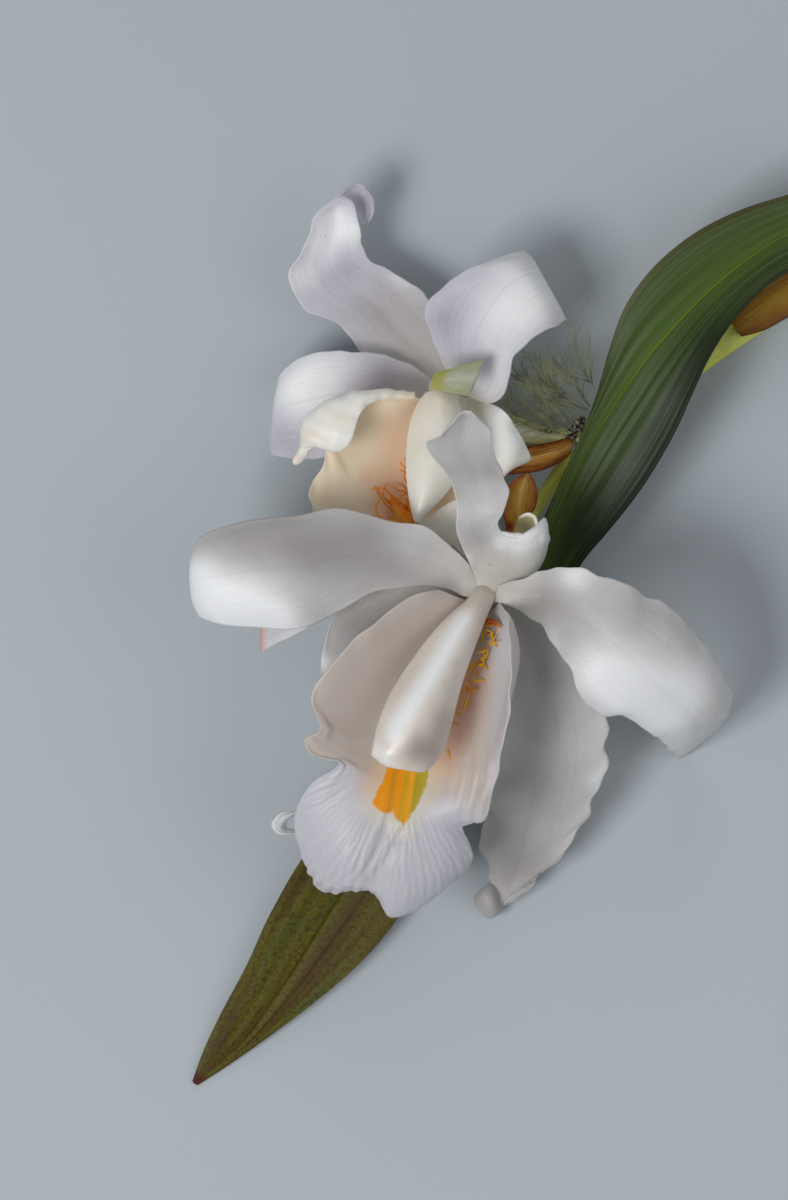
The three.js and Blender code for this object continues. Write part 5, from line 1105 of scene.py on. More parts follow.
back_lateral_right_net = [
    [[-26.6, 38, 12.6], [-26.3, 38.3, 12.5], [-26, 38.6, 12.4], [-25.8, 39, 12.5], [-25.7, 39.4, 12.7]],
    [[-25.4, 36.6, 11.4], [-24.8, 37.1, 11.1], [-24.2, 37.7, 11], [-23.8, 38.4, 11.2], [-23.5, 39.1, 11.6]],
    [[-25.2, 33, 12], [-23.6, 34, 12], [-21.8, 35.2, 12.6], [-20, 36.4, 13.4], [-18.4, 37.2, 14]],
    [[-24.4, 29.4, 12.4], [-22.2, 30.4, 13], [-19.8, 31.6, 13.8], [-17.8, 33, 14.4], [-16.2, 34.4, 13.6]],
    [[-23.2, 26, 12.6], [-21.2, 26.8, 13.4], [-18.8, 28.2, 14.4], [-16.4, 29.8, 14.8], [-14.6, 31.6, 13.4]],
    [[-22.4, 23.6, 11.8], [-20.6, 24, 12.8], [-18.8, 25.2, 13.6], [-16.6, 27.2, 13.6], [-13.5, 28.7, 12]],
    [[-22, 24.4, 9.4], [-20.6, 25, 9.6], [-19.2, 26.2, 9.8], [-17.4, 28, 9.8], [-15.6, 29.6, 9.6]],
    [[-21.4, 27.4, 8.9], [-20.8, 27.6, 8.9], [-20.2, 28, 8.9], [-19.6, 28.6, 9], [-19, 29.2, 9]],
]


def back_dorsal_relief(place):
    """A shallow groove, and a wavy margin above the blade's foot."""
    return ruffle(place, 0.25, 2, 13, 0.2) * soft_step(place.along, 0.25, 0.4) + groove(place, 0.25, 1.4)


# The last entry of each blade is its glow mark: spots of painted highlight and painted shade
back_blades = {
    "back_dorsal_sepal": (
        back_dorsal_net, back_dorsal_relief,
        painted_light_and_stain_at(
            (-50, 66, 4, 0.7), (-44, 67.4, 2.6, 1), (-46, 70.6, 2, 0.5), (-35, 60, 2, 0.5), (-53, 60, 3, 0.6),
            (-39, 55, 6, -0.6), (-34, 49, 6, -0.5), (-46, 61, 3, -0.4), (-41.6, 72.6, 2.6, -0.6)
        )
    ),
    "back_petal_right": (
        back_petal_right_net, lambda place: ruffle(place, 0.25, 1.8, 12, 1.0),
        painted_light_and_stain_at(
            (-12, 56, 5, 0.9), (-18, 53, 5, 0.7), (-17, 61, 4, 0.4), (-19, 42.5, 2.6, 0.4),
            (-27.6, 52, 3.4, -0.4), (-24, 44, 3, -0.3)
        )
    ),
    "back_petal_left": (
        back_petal_left_net, lambda place: ruffle(place, 0.25, 1.8, 12, 2.4),
        painted_light_and_stain_at(
            (-54, 40, 4.6, 0.8), (-50, 44, 4, 0.7), (-48, 38, 4, 0.4), (-38, 43, 4, -0.6), (-53, 32, 4, -0.4)
        )
    ),
    "back_lateral_sepal_left": (back_lateral_left_net, lambda place: ruffle(place, 0.25, 1.6, 10, 0.9), None),
}
for node, (net, relief, glow) in back_blades.items():
    surface = scalloped(blade_surface(net), 0.18, 2, 7, 0.3)
    grow_blade(
        node + "_blade", surface, TEPAL_WALL, back_tissue, "tepal_back", node, relief=relief, glow=glow
    )

# The right lateral sepal lies under the lip, so it stays cream. Its glow mark paints highlights on its
# middle and a little shade at its left side
cream_tissue = petal_tissue(
    "cream_sepal_tissue", "#FFFFFA", "#F8F5E9", "#EFEADB", "#CFC8B2", "#E9E6C8", grain=0.35, veins=0.12
)
surface = blade_surface(back_lateral_right_net)
grow_blade(
    "back_lateral_sepal_right_blade", surface, (0.7, 0.35, 1.5), cream_tissue, "tepal_back",
    "back_lateral_sepal_right", relief=lambda place: ruffle(place, 0.3, 1.5, 8, 0.2),
    glow=painted_light_and_stain_at((-20, 32, 5, 1), (-17, 36, 4, 0.8), (-30, 30, 4, -0.2))
)

# ------------------------ back flower: ovary and pedicel
# The same ribbed stalk as the front flower's. Its top swells under the lip and column, where it turns ivory.
back_ovary_path = [
    [-28.7, 40.2, 19.6], [-28.7, 40.2, 18.6], [-28.5, 40.3, 16], [-28.2, 40.4, 13.6], [-26.8, 39.8, 10.4],
    [-23.4, 37.8, 6.6], [-18.6, 35, 5.2], [-13.4, 33.2, 5], [-7.3, 32.4, 5]
]
back_ovary_radii = [0.5, 1.5, 2.0, 2.6, 2.4, 2.3, 2.2, 1.9, 1.3]
back_stalk_skin = fleshy_stem(
    "back_pedicel_skin", [(0.0, "#CACA36"), (0.33, "#DEDE4C"), (0.42, "#FAF8E2"), (0.8, "#FFF8EA")],
    vertical_top=17
)
roll_tube(
    "back_ovary_stalk",
    stem_rings(back_ovary_path, back_ovary_radii, steps=8, sides=30, ribs=6, rib_height=0.04),
    back_stalk_skin, "ovary", "back_ovary"
)

# ------------------------ back flower: lip and keels
# The same fleshy lip, seen from its left. The left lobe's margin is folded forward over its peach-cream face,
# and the keels on its floor are cut into long bright orange threads.
back_lip_net = [
    [[-31.2, 38.6, 16.8], [-31.2, 38.9, 16.2], [-30.4, 38.3, 15.4], [-29.4, 37.8, 15], [-28.2, 37.5, 15.2],
     [-27, 37.6, 16], [-26.2, 38, 17]],
    [[-36.6, 39.7, 20.6], [-36.2, 37.6, 19.2], [-34.6, 35.2, 16.6], [-31.6, 33.4, 14.6],
     [-28.4, 32.8, 14.8], [-25.4, 33, 17], [-23.4, 33.4, 19]],
    [[-41.4, 39.4, 22.2], [-41, 36.8, 20.6], [-38.6, 33.4, 17], [-34, 28.8, 14.6], [-29.6, 27.6, 15],
     [-25, 27.2, 17.4], [-22.8, 27.4, 19.6]],
    [[-45.6, 37.6, 22.8], [-44.4, 34.6, 21], [-41.6, 30.2, 17], [-36.6, 24, 14.4], [-31.2, 22.4, 14.8],
     [-26.4, 21.6, 17.2], [-24, 21.2, 19.4]],
    [[-48.2, 34.2, 21.8], [-46.8, 31.6, 20.2], [-43.8, 27, 16.8], [-38.4, 20.4, 14.6], [-32.9, 18, 15],
     [-28.2, 16.8, 17], [-26.2, 16, 19]],
    [[-48.3, 31, 20.8], [-46.8, 28.8, 19.3], [-44.2, 24.8, 16.5], [-39.1, 18.9, 14.6], [-33.8, 16, 15],
     [-29.2, 14.6, 16.7], [-26.9, 14.1, 18.4]],
    [[-48.4, 28.8, 19.7], [-46.9, 27, 18.4], [-44.4, 23.6, 16.2], [-39.5, 18.1, 14.6], [-34.3, 15.2, 15],
     [-29.7, 13.8, 16.5], [-27.3, 13.5, 18]],
    [[-49.2, 26.7, 18.9], [-47.6, 25.3, 17.7], [-44.8, 22.5, 16.1], [-39.9, 17.2, 14.6], [-34.7, 14.6, 15],
     [-30.1, 13.2, 16.4], [-27.7, 13.1, 17.8]],
    [[-50.4, 24.7, 18.5], [-48.9, 23.6, 17.4], [-45.8, 21.3, 16], [-40.3, 16.5, 14.6], [-35.1, 13.9, 15],
     [-30.5, 12.7, 16.2], [-28.1, 12.7, 17.6]],
    [[-51.2, 22.4, 18], [-49.6, 21.6, 17], [-46.3, 19.6, 15.8], [-40.8, 15.2, 14.6], [-36, 12.6, 14.9],
     [-31.7, 11.2, 15.8], [-29.2, 11.2, 16.6]],
    [[-50.6, 19.6, 17.4], [-49, 19, 16.6], [-46, 17.2, 15.6], [-41.4, 13.4, 14.6], [-37, 10.8, 14.8],
     [-33, 9.4, 15], [-30.6, 9.4, 14.8]],
    [[-54, 15.4, 14], [-51, 14.2, 14.4], [-47.2, 12.4, 14.8], [-43, 9.4, 14.4], [-39.2, 7.2, 14.4],
     [-35.4, 5.6, 14], [-31.8, 4.6, 13]],
    [[-52.6, 9.4, 10.6], [-50.6, 8.4, 11.4], [-48.2, 7, 12], [-45.2, 5.4, 12], [-42, 3.8, 11.6],
     [-38.8, 2.4, 11], [-35.6, 1.4, 9.8]],
]
back_lip_surface = blade_surface(back_lip_net, 10, 15)
place = measure(back_lip_surface)
back_blush = falloff(np.hypot(place.x + 41.5, place.y - 25.8), 1.6) * 0.6
back_blush += 0.7 * falloff(line_distance(place, [(-36, 33), (-37, 24), (-36, 17)]), 3.5)
back_lip_marks = {
    "tint_and_painted_shade": 1 - soft_step(place.along, 0.76, 0.88), "blush": np.clip(back_blush, 0, 1) * 0.7,
    "patch": np.full(place.x.shape, 30.0), "stripe": np.zeros(place.x.shape)
}
back_lip_face = lip_face(
    "back_lip_face", "#FFF5E4", "#FFE9CC", "#FFC49C", [(0.0, "#F08A08"), (1.0, "#F08A08")]
)


def back_lip_relief(place):
    """A wavy margin that dies out at the foot."""
    return 0.25 * waves(place.root, 9, 1.4) * np.exp(-place.margin / 2) * past_foot(place)


grow_blade(
    "back_lip_blade", back_lip_surface, LIP_WALL, back_lip_face, "lip_back", "back_lip",
    relief=back_lip_relief, marks=back_lip_marks
)

# The left lobe's margin is folded over forwards: ivory, thick and bright, with a scalloped edge and a hooked
# corner. Each row runs from the crease to the free edge.
back_fold_net = [
    [[-33.2, 39.8, 19.4], [-33.2, 39.6, 20.2], [-33.2, 39.2, 20.6], [-33.2, 38.8, 20.6]],
    [[-36, 40.2, 20.4], [-36, 39.9, 21.6], [-36, 39.4, 22.2], [-36.2, 38.8, 22.2]],
    [[-38.8, 40.3, 21.4], [-38.8, 40, 22.8], [-38.8, 39.4, 23.6], [-39, 38.6, 23.6]],
    [[-41.6, 40.2, 22], [-41.5, 39.6, 23.8], [-41.3, 38.8, 24.8], [-41.1, 37.7, 24.8]],
    [[-44.6, 39.7, 22.4], [-44.2, 38.7, 24.3], [-43.5, 37.3, 25.3], [-42.6, 35.9, 25.6]],
    [[-47.8, 38.6, 22.6], [-46.8, 37.3, 24.5], [-45.2, 35.3, 25.6], [-43.2, 33.9, 25.8]],
    [[-50.3, 37.1, 22.6], [-49.2, 35.7, 24.4], [-47, 33.7, 25.6], [-43.8, 31.9, 25.8]],
    [[-51.9, 35.3, 22.4], [-50.8, 34.1, 24.1], [-48.6, 32.3, 25.2], [-45.2, 30.1, 25]],
    [[-52.55, 33.6, 22], [-51.6, 32.8, 24], [-49.8, 31.5, 24.9], [-47.3, 29.8, 24]],
    [[-52.6, 32, 21.6], [-51.9, 31.6, 23], [-50.8, 31, 23.6], [-49, 30.4, 23.2]],
    [[-52.5, 30.7, 21.2], [-52.1, 30.5, 22], [-51.7, 30.4, 22.3], [-51.2, 30.2, 22.3]],
    [[-53.3, 29.5, 20.6], [-52.8, 29.4, 21.2], [-52.2, 29.3, 21.4], [-51.5, 29.2, 21.2]],
    [[-53.85, 28.4, 20], [-53.4, 28.4, 20.4], [-52.9, 28.3, 20.5], [-52.3, 28.2, 20.4]],
    [[-53.7, 27.7, 19.8], [-53.5, 27.65, 19.9], [-53.3, 27.6, 19.9], [-53.1, 27.7, 19.8]],
]
ivory_tissue = petal_tissue(
    "ivory_fold_tissue", "#FFFFFF", "#FFFFF8", "#FFFAEE", "#F0D6B8", "#FBE6CC", grain=0.2, veins=0.05
)


def back_fold_relief(place):
    """A scalloped margin, on a fold whose thick face is faintly quilted."""
    scallops = 0.18 * waves(place.root, 5, 0.8) * np.exp(-place.side / 1.6)
    return scallops + 0.08 * np.sin(1.9 * place.x + 0.8 * place.y) * np.sin(1.7 * place.y - place.x)


# Its glow mark paints shade on a few spots along the fold
grow_blade(
    "back_lip_fold", blade_surface(back_fold_net, 8, 10), (0.75, 0.25, 1.6), ivory_tissue, "lip_back",
    relief=back_fold_relief,
    glow=painted_light_and_stain_at(
        (-51.4, 32.4, 1.6, -0.45), (-49.6, 35.4, 1.4, -0.2), (-45.6, 35.6, 1.6, -0.35), (-53, 28.8, 1.2, -0.5)
    )
)

# The right lobe's cream margin shows under the column's end
lobe_net = [
    [[-32.6, 17.9, 20.2], [-32.4, 17.4, 20.1], [-32, 16.9, 20.2]],
    [[-30, 19.4, 21.2], [-29.8, 17.7, 21.4], [-29.4, 15.4, 21]],
    [[-27.4, 21.1, 21.4], [-27.2, 18, 21.8], [-27, 14.1, 21.2]],
    [[-24.8, 22.4, 21], [-24.4, 18, 21.4], [-24.4, 11.6, 20.8]],
]
grow_blade("back_lip_right_lobe", blade_surface(lobe_net, 8, 10), (0.75, 0.25, 1.2), cream_tissue, "lip_back")

# The threads as seen from above, root first, and each one's greatest lift above the lip's floor in
# millimetres
BACK_THREADS = [
    ([(-35.6, 18.4), (-36.8, 19.6), (-38.2, 21), (-39.3, 22.6), (-39.9, 24)], 1.6),
    ([(-35.4, 18.8), (-36.4, 20.2), (-37.6, 21.4), (-38.8, 22.6), (-39.6, 23.8)], 2.2),
    ([(-35.6, 20.4), (-36.6, 21.8), (-37.6, 22.8), (-38.4, 23.5), (-39.5, 23.7), (-40.6, 23.5)], 2.6),
    ([(-37.2, 20.8), (-38.2, 21.8), (-38.5, 23), (-38, 24.3)], 1.8),
    ([(-36.4, 17.8), (-38.2, 17.9), (-39.4, 19.1), (-39.8, 20.4), (-39.2, 21.6)], 1.4),
    ([(-36.2, 17.6), (-38, 17.8), (-39.2, 18.5), (-40.4, 19.1)], 0.9),
    ([(-34.2, 22.4), (-34.9, 23.1), (-36, 23.4), (-37, 24.1)], 1.6),
    ([(-34.2, 23), (-34.8, 23.8), (-35.4, 24.4), (-36.2, 24.6)], 2.0),
    ([(-34.2, 22.8), (-35, 22.7), (-35.6, 21.9), (-35.3, 21), (-34.2, 20.7)], 2.4),
    ([(-34.4, 24.4), (-34.9, 25.4), (-34.8, 26.4)], 1.6),
    ([(-34.3, 26.6), (-34.9, 27.2), (-35.7, 28.1)], 1.8),
    ([(-34.3, 26.8), (-34.7, 27.8), (-34.8, 28.8)], 1.8),
    ([(-34.2, 26), (-35, 26.5), (-35.6, 26.8)], 1.4),
    ([(-33.6, 18.8), (-33.5, 20.2), (-34, 21.6), (-34.4, 22.6)], 2.0),
    ([(-35, 19.6), (-35.8, 20.9), (-36.3, 22), (-37.2, 22.1)], 2.6),
    ([(-34.4, 19.8), (-35.2, 21), (-36.4, 21.4), (-37.4, 22.4)], 3.0),
    ([(-36, 18.2), (-37, 18.3), (-37.6, 18.9), (-37.9, 19.8)], 1.2),
]
back_fringe = []
for line, lift in BACK_THREADS:
    flat_line = fill_in(line, 5)
    rise = 0.6 + lift * np.sin(np.linspace(0.2, 2.2, len(flat_line)))
    floor = np.array([on_surface(back_lip_surface, *spot)[2] for spot in flat_line])
    back_fringe.append([np.array([*spot, z]) for spot, z in zip(flat_line, np.minimum(floor, 15.6) + rise)])
back_fringe_piece = spin_threads("back_keel_fringe", back_fringe, thickness=0.34, tip_share=0.75)
orange_flesh = keel_flesh("orange_keel_flesh", "#FFAC2C", "#FF8C0A")
fix_on(back_fringe_piece, orange_flesh, "lip_back")

# The keels' solid crest branches into the threads
BACK_CRESTS = {
    "back_keel_crest": (
        [[-33.4, 16.6, 15.6], [-34.4, 18.2, 16.4], [-35.6, 19.6, 16.8], [-37.4, 21.8, 16.4]],
        [0.7, 1.5, 1, 0.3]
    ),
    "back_keel_crest_left": (
        [[-34.6, 17.4, 15.6], [-36, 17.7, 16.2], [-37.2, 17.8, 16], [-38.4, 18, 15.6]], [0.9, 0.8, 0.5, 0.2]
    ),
    "back_keel_crest_right": (
        [[-33.6, 16.8, 15.6], [-33.5, 18.4, 16.6], [-33.8, 20.2, 17], [-34.4, 22, 16.8]],
        [0.6, 0.8, 0.6, 0.25]
    ),
}
for name, (path, radii) in BACK_CRESTS.items():
    roll_tube(
        name, stem_rings(path, radii, steps=6, sides=20, ribs=5, rib_height=0.16), orange_flesh, "lip_back"
    )

# ------------------------ back flower: column and pale bract
# The younger column is plain ivory. A thin pale green bract, soft as skin, lies across the petals' bases
# above it.
back_column_net = [
    [[-31.4, 39.9, 19.2], [-30.2, 40.3, 20.2], [-28.8, 40.4, 20.6], [-27.2, 39.8, 20.1], [-25.8, 38.6, 19]],
    [[-33.4, 37.6, 20.4], [-31.6, 37.2, 22.4], [-29, 36.6, 23.4], [-26.4, 35.8, 22.4], [-24.6, 35, 20]],
    [[-34.6, 33, 21.4], [-32, 32.6, 23.8], [-29, 32, 24.8], [-26, 31.4, 23.6], [-24.6, 30.8, 22]],
    [[-34.8, 28.2, 22.2], [-32.4, 27.8, 24.4], [-29.6, 27.4, 25.2], [-27, 27, 24.2], [-25, 26.6, 22.8]],
    [[-34.6, 24, 22.8], [-32.8, 23.6, 24.6], [-30.8, 23.4, 25.2], [-28.8, 23.4, 24.4], [-27, 23.4, 23]],
    [[-34, 20.8, 23.2], [-33.1, 20.4, 24.4], [-32, 20.2, 24.8], [-30.8, 20.4, 24.2], [-29.6, 20.8, 23]],
    [[-33.4, 18.2, 23.6], [-33.2, 17.9, 24], [-32.9, 17.7, 24.1], [-32.5, 17.8, 24], [-32.1, 18, 23.6]],
]
young_wax = waxy_column("young_waxy_column", "#FFFFFF", "#F6F1E6", "#EFE8DA", "#C9BEA8", "#F1E6D2")
roll_tube(
    "back_column_body", column_rings(back_column_net, hollow_from=0.4), young_wax, "column", "back_column"
)

pale_bract_net = [
    [[-30.6, 40.6, 21.8], [-30.3, 41.8, 21.4], [-29.9, 43.1, 20.8]],
    [[-28.6, 40.1, 22.2], [-28.2, 42.2, 21.8], [-27.4, 43.8, 21]],
    [[-26.2, 39.7, 22.2], [-25.6, 42.3, 21.8], [-24.8, 44.6, 20.8]],
    [[-24, 39.5, 21.6], [-23.2, 42.4, 21.2], [-22.6, 45.1, 20.2]],
    [[-22.6, 42.4, 20.8], [-22, 44, 20.4], [-21.3, 45.6, 19.6]],
]


def thin_bract(name, ramp, streaks, roughness, clear, stain):
    """Dry or soft bract skin, thin enough to let light through. The ramp runs from its middle to its margins,
    darker fibres run along it, and its glow mark says where it is stained."""
    material, tree, shader = start_material(
        name, Roughness=roughness, IOR=1.4, Subsurface_Weight=clear, Subsurface_Radius=(1.0, 0.6, 0.3),
        Subsurface_Scale=0.0012
    )
    flat = add_node(tree, "TexCoord", {}).outputs["UV"]
    across = add_node(tree, "SeparateXYZ", {"Vector": flat}).outputs["X"]
    centred = add_node(tree, "Math", {0: across, 1: 0.5}, operation="SUBTRACT")
    away = add_node(tree, "Math", {0: centred}, operation="ABSOLUTE")
    wander = add_node(tree, "TexNoise", {"Vector": flat, "Scale": 5.0, "Detail": 3.0})
    reach = add_node(tree, "Math", {0: wander, 1: 0.5, 2: away}, operation="MULTIPLY_ADD")
    spread = add_node(tree, "MapRange", {0: reach, 1: 0.2, 2: 0.75})
    tone = add_node(tree, "ValToRGB", {"Fac": spread}, ramp=ramp)
    drawn = add_node(tree, "Mapping", {"Vector": flat, "Scale": (52.0, 1.5, 1.0)})
    fibre = add_node(tree, "TexNoise", {"Vector": drawn, "Scale": 1.0, "Detail": 3.0})
    dark = add_node(tree, "MapRange", {0: fibre, 1: 0.5, 2: 0.6, 4: streaks[1]})
    streaked = add_node(tree, "Mix", {0: dark, 6: tone, 7: streaks[0]}, data_type="RGBA")
    stained = add_node(tree, "Attribute", {}, attribute_name="glow").outputs["Fac"]
    rooted = add_node(tree, "Mix", {0: stained, 6: streaked, 7: stain}, data_type="RGBA")
    bump = add_node(tree, "Bump", {"Height": fibre, "Strength": 0.5, "Distance": 0.0003})
    feed(tree, shader, {"Base Color": rooted, "Normal": bump})
    return material


pale_skin = thin_bract(
    "pale_bract_skin", [(0.0, "#C9CDBC"), (1.0, "#A3AE86")], ("#93A074", 0.2), roughness=0.4, clear=0.5,
    stain="#A9AC52"
)
pale_surface = blade_surface(pale_bract_net, 8, 14)


def rooted_glow(share):
    """Marks a blade's base, up to a share of its length."""
    return lambda place: 0.9 * (1 - soft_step(place.along, share / 2, share))


grow_blade(
    "pale_bract_blade", pale_surface, (0.35, 0.15, 1.2), pale_skin, "bract_pale", "pale_bract",
    glow=rooted_glow(0.36)
)

# ------------------------ bracts under the flowers
# Each pedicel starts in a bract. The front one is a still fresh amber hood with a dark rim. The back one has
# dried to a brown ribbed paper that clasps the pedicel.
amber_net = [
    [[-18.8, 14.2, 12], [-17.6, 14, 11.2], [-16.2, 14, 10.9], [-14.8, 14.2, 11.2], [-13.8, 14.6, 11.8]],
    [[-17.6, 16.9, 11.4], [-16.8, 16.7, 10.6], [-15.8, 16.7, 10.3], [-14.8, 17.2, 10.6], [-14, 18, 11.2]],
    [[-18.2, 19.6, 13.2], [-16.9, 19.8, 12], [-15.4, 20, 11.4], [-13.9, 20.2, 11.8], [-12.6, 20.4, 12.6]],
    [[-17.9, 22.8, 14], [-16.6, 22.9, 12.9], [-15, 23, 12.5], [-13.4, 22.9, 12.8], [-12.2, 22.8, 13.5]],
    [[-16.2, 25, 14.2], [-15.4, 25.1, 13.6], [-14.4, 25.2, 13.4], [-13.5, 25, 13.5], [-12.8, 24.9, 13.8]],
    [[-14.6, 25.9, 14.1], [-14.3, 26, 14], [-14, 26.1, 13.9], [-13.7, 26, 13.9], [-13.4, 25.9, 14]],
]
amber_skin = thin_bract(
    "fresh_amber_bract",
    [(0.0, "#CDB05C"), (0.3, "#BA9232"), (0.6, "#AC7826"), (0.85, "#9C6422"), (1.0, "#8A3C22")],
    ("#9A5C24", 0.25), roughness=0.3, clear=0.5, stain="#6E0C04"
)
amber_surface = blade_surface(amber_net, 8, 10)
grow_blade(
    "amber_bract_blade", amber_surface, (0.45, 0.25, 1.0), amber_skin, "bract_amber", "front_bract",
    relief=lambda place: 0.04 * np.cos(16 * np.pi * place.across),
    glow=painted_light_and_stain_at((-17, 17.2, 0.9, 1), (-16.4, 14.4, 1.2, 0.5))
)

brown_net = [
    [[-6.4, 32.6, 6], [-6.2, 31.9, 6.7], [-6.2, 31.1, 7], [-6.4, 30.3, 6.7], [-6.6, 29.5, 6]],
    [[-10, 31.4, 6.4], [-9.9, 30.6, 7.8], [-9.8, 29.6, 8.2], [-9.7, 28.6, 7.9], [-9.6, 27.6, 6.8]],
    [[-13.6, 30.8, 6.4], [-13.5, 29.8, 8], [-13.4, 28.7, 8.4], [-13.2, 27.6, 8], [-13, 26.5, 6.8]],
    [[-17, 29.8, 6], [-17, 29, 7.2], [-17, 28.1, 7.6], [-16.9, 27.2, 7.2], [-16.8, 26.2, 6.4]],
    [[-19.6, 28.4, 6.2], [-19.6, 28, 6.4], [-19.5, 27.4, 6.5], [-19.4, 27, 6.4], [-19.3, 26.5, 6.2]],
]
brown_paper = thin_bract(
    "dry_brown_bract", [(0.0, "#F2BE6A"), (0.4, "#DC9840"), (0.7, "#BC6C20"), (1.0, "#8A2412")],
    ("#7A3C14", 0.6), roughness=0.5, clear=0.2, stain="#B59A8C"
)
brown_surface = blade_surface(brown_net, 8, 12)
grow_blade(
    "brown_bract_blade", brown_surface, (0.4, 0.2, 0.8), brown_paper, "bract_brown", "back_bract",
    relief=lambda place: 0.12 * np.cos(26 * np.pi * place.across), glow=painted_light_and_stain_at((-19, 27, 1.6, 0.9))
)

# ------------------------ knob and hairs at the last node
# Where the flower stem ends, dried scales crowd into a dark knob, and a plume of fine branching hairs trails
# from it.
bark, tree, shader = start_material("dried_scale_bark", Roughness=0.75)
place = add_node(tree, "TexCoord", {}).outputs["Object"]
flakes = add_node(tree, "TexVoronoi", {"Vector": place, "Scale": 1600.0})
tone = add_node(
    tree, "ValToRGB", {"Fac": flakes},
    ramp=[(0.1, "#0C0806"), (0.4, "#2C1C12"), (0.6, "#6E5C48"), (0.85, "#C9C2B4")]
)
bump = add_node(tree, "Bump", {"Height": flakes, "Strength": 0.7, "Distance": 0.0004})
feed(tree, shader, {"Base Color": tone, "Normal": bump})
dice = random.Random(23)
lumps = []
# Each heap: its centre, its spread, its number of scales and their size in millimetres
SCALE_HEAPS = [
    ((-5.2, 34.5, 7.7), 0.9, 16, 0.55),
    ((-6.3, 33.1, 7.4), 0.7, 9, 0.42),
    ((-9.2, 33.4, 6.5), 1.5, 7, 0.24),
]
for centre, spread, count, size in SCALE_HEAPS:
    for k in range(count):
        shift = [dice.uniform(-spread, spread), *(dice.uniform(-0.8, 0.8) * size * 2 for _ in range(2))]
        bpy.ops.object.select_all(action="DESELECT")
        bpy.ops.mesh.primitive_ico_sphere_add(
            subdivisions=2, radius=dice.uniform(0.75, 1.3) * size * MM,
            location=(np.array(centre) + shift) * MM, rotation=[dice.uniform(0, 3) for _ in range(3)]
        )
        lump = bpy.context.object
        lump.scale = (1, 0.6, 1.4)
        lumps.append(lump)
for lump in lumps:
    lump.select_set(True)
bpy.ops.object.join()
knob = bpy.context.object
knob.name = knob.data.name = "scale_knob"
bpy.ops.object.transform_apply(location=True, rotation=True, scale=True)
bpy.ops.object.shade_smooth()
fix_on(knob, bark, "knob", "node_knob")

# The plume's main strands as seen from above. They leave two roots, one at the knob and one higher under the
# leaf.
STRANDS = [
    [(-3.4, 37), (-6, 38.2), (-8.6, 39.8), (-10.4, 41.5), (-11.6, 43.2)],
    [(-3.3, 37.1), (-5.8, 38.8), (-8.4, 40.8), (-10, 43), (-10.8, 45)],
    [(-3.2, 37.6), (-5, 39.8), (-7, 42.2), (-9, 43.8), (-10.2, 44.8)],
    [(-3.2, 37.8), (-4.8, 40.2), (-6.6, 42.8), (-7.2, 45)],
    [(-2.2, 40.4), (-3.8, 42.8), (-5.6, 45.6), (-6.4, 50.2)],
    [(-2.4, 39.8), (-3, 42.4), (-3.4, 45), (-4.2, 48)],
    [(-3.4, 41.8), (-5.2, 42.6), (-7, 43.4), (-8.4, 44.4)],
    [(-3.8, 37.2), (-7, 37.4), (-10, 37.9), (-12, 39.6), (-14, 41.4), (-16.7, 43)],
    [(-4, 37.4), (-8, 38.2), (-11, 40.2), (-13.4, 42.2), (-14.8, 44)],
    [(-6.2, 33.2), (-8.8, 34.4), (-10.4, 37.2), (-11.6, 40.4), (-12, 43)],
    [(-6.4, 33.1), (-9.4, 35), (-11.8, 37.8), (-13.8, 40.6), (-15.4, 42.8)],
    [(-6.6, 33), (-9.6, 34.2), (-13, 36.6), (-15.6, 38.8), (-17.8, 40.8)],
    [(-6.8, 33), (-10, 33.8), (-13.6, 35.2), (-16.4, 37), (-18, 38.8)],
    [(-7, 32.9), (-10.6, 33.2), (-13.8, 34.4), (-16.6, 36)],
    [(-6, 33.4), (-8, 35.8), (-9.6, 38.8), (-10, 41.6)],
    [(-5.6, 34), (-6.6, 36), (-8, 38), (-8.8, 40.6)],
]
TUFT_HEIGHT = 8.4
dice = random.Random(31)
strands, side_hairs = [], []
for strand in STRANDS:
    flat_line = fill_in(strand, 5)
    share = np.linspace(0, 1, len(flat_line))
    for twin in range(3):
        # Each strand's twins part from it a little towards their ends
        apart = np.array([dice.uniform(-1, 1), dice.uniform(-1, 1)]) * min(twin, 1) * 1.3
        heights = TUFT_HEIGHT + 0.5 * waves(np.arange(len(flat_line)), 11, dice.uniform(0, 6))
        spine = np.column_stack([flat_line + np.outer(share**2, apart), heights])
        strands.append(list(spine))
        for k in range(3 + twin, len(spine), 2):
            heading = spine[k] - spine[k - 1]
            heading /= np.linalg.norm(heading)
            away = np.array([-heading[1], heading[0], 0]) * dice.uniform(-0.55, 0.55)
            lean = heading + away + [0, 0, dice.uniform(-0.3, 0.3)]
            side_hairs.append(curled_thread(dice, spine[k], lean, dice.uniform(3, 7), curl=0.14, count=8))
hair_pieces = [
    spin_threads("hair_strands", strands, thickness=0.17, tip_share=0.3),
    spin_threads("hair_plume", side_hairs, thickness=0.1, tip_share=0.4)
]
hair_strand, tree, shader = start_material("dry_root_hair", Roughness=0.6, Subsurface_Weight=0.0)
place = add_node(tree, "TexCoord", {}).outputs["Object"]
cloud = add_node(tree, "TexNoise", {"Vector": place, "Scale": 400.0})
tone = add_node(tree, "ValToRGB", {"Fac": cloud}, ramp=[(0.35, "#6E7046"), (0.65, "#B0B284")])
feed(tree, shader, {"Base Color": tone})
for piece in hair_pieces:
    fix_on(piece, hair_strand, "hair", "hair_tuft")

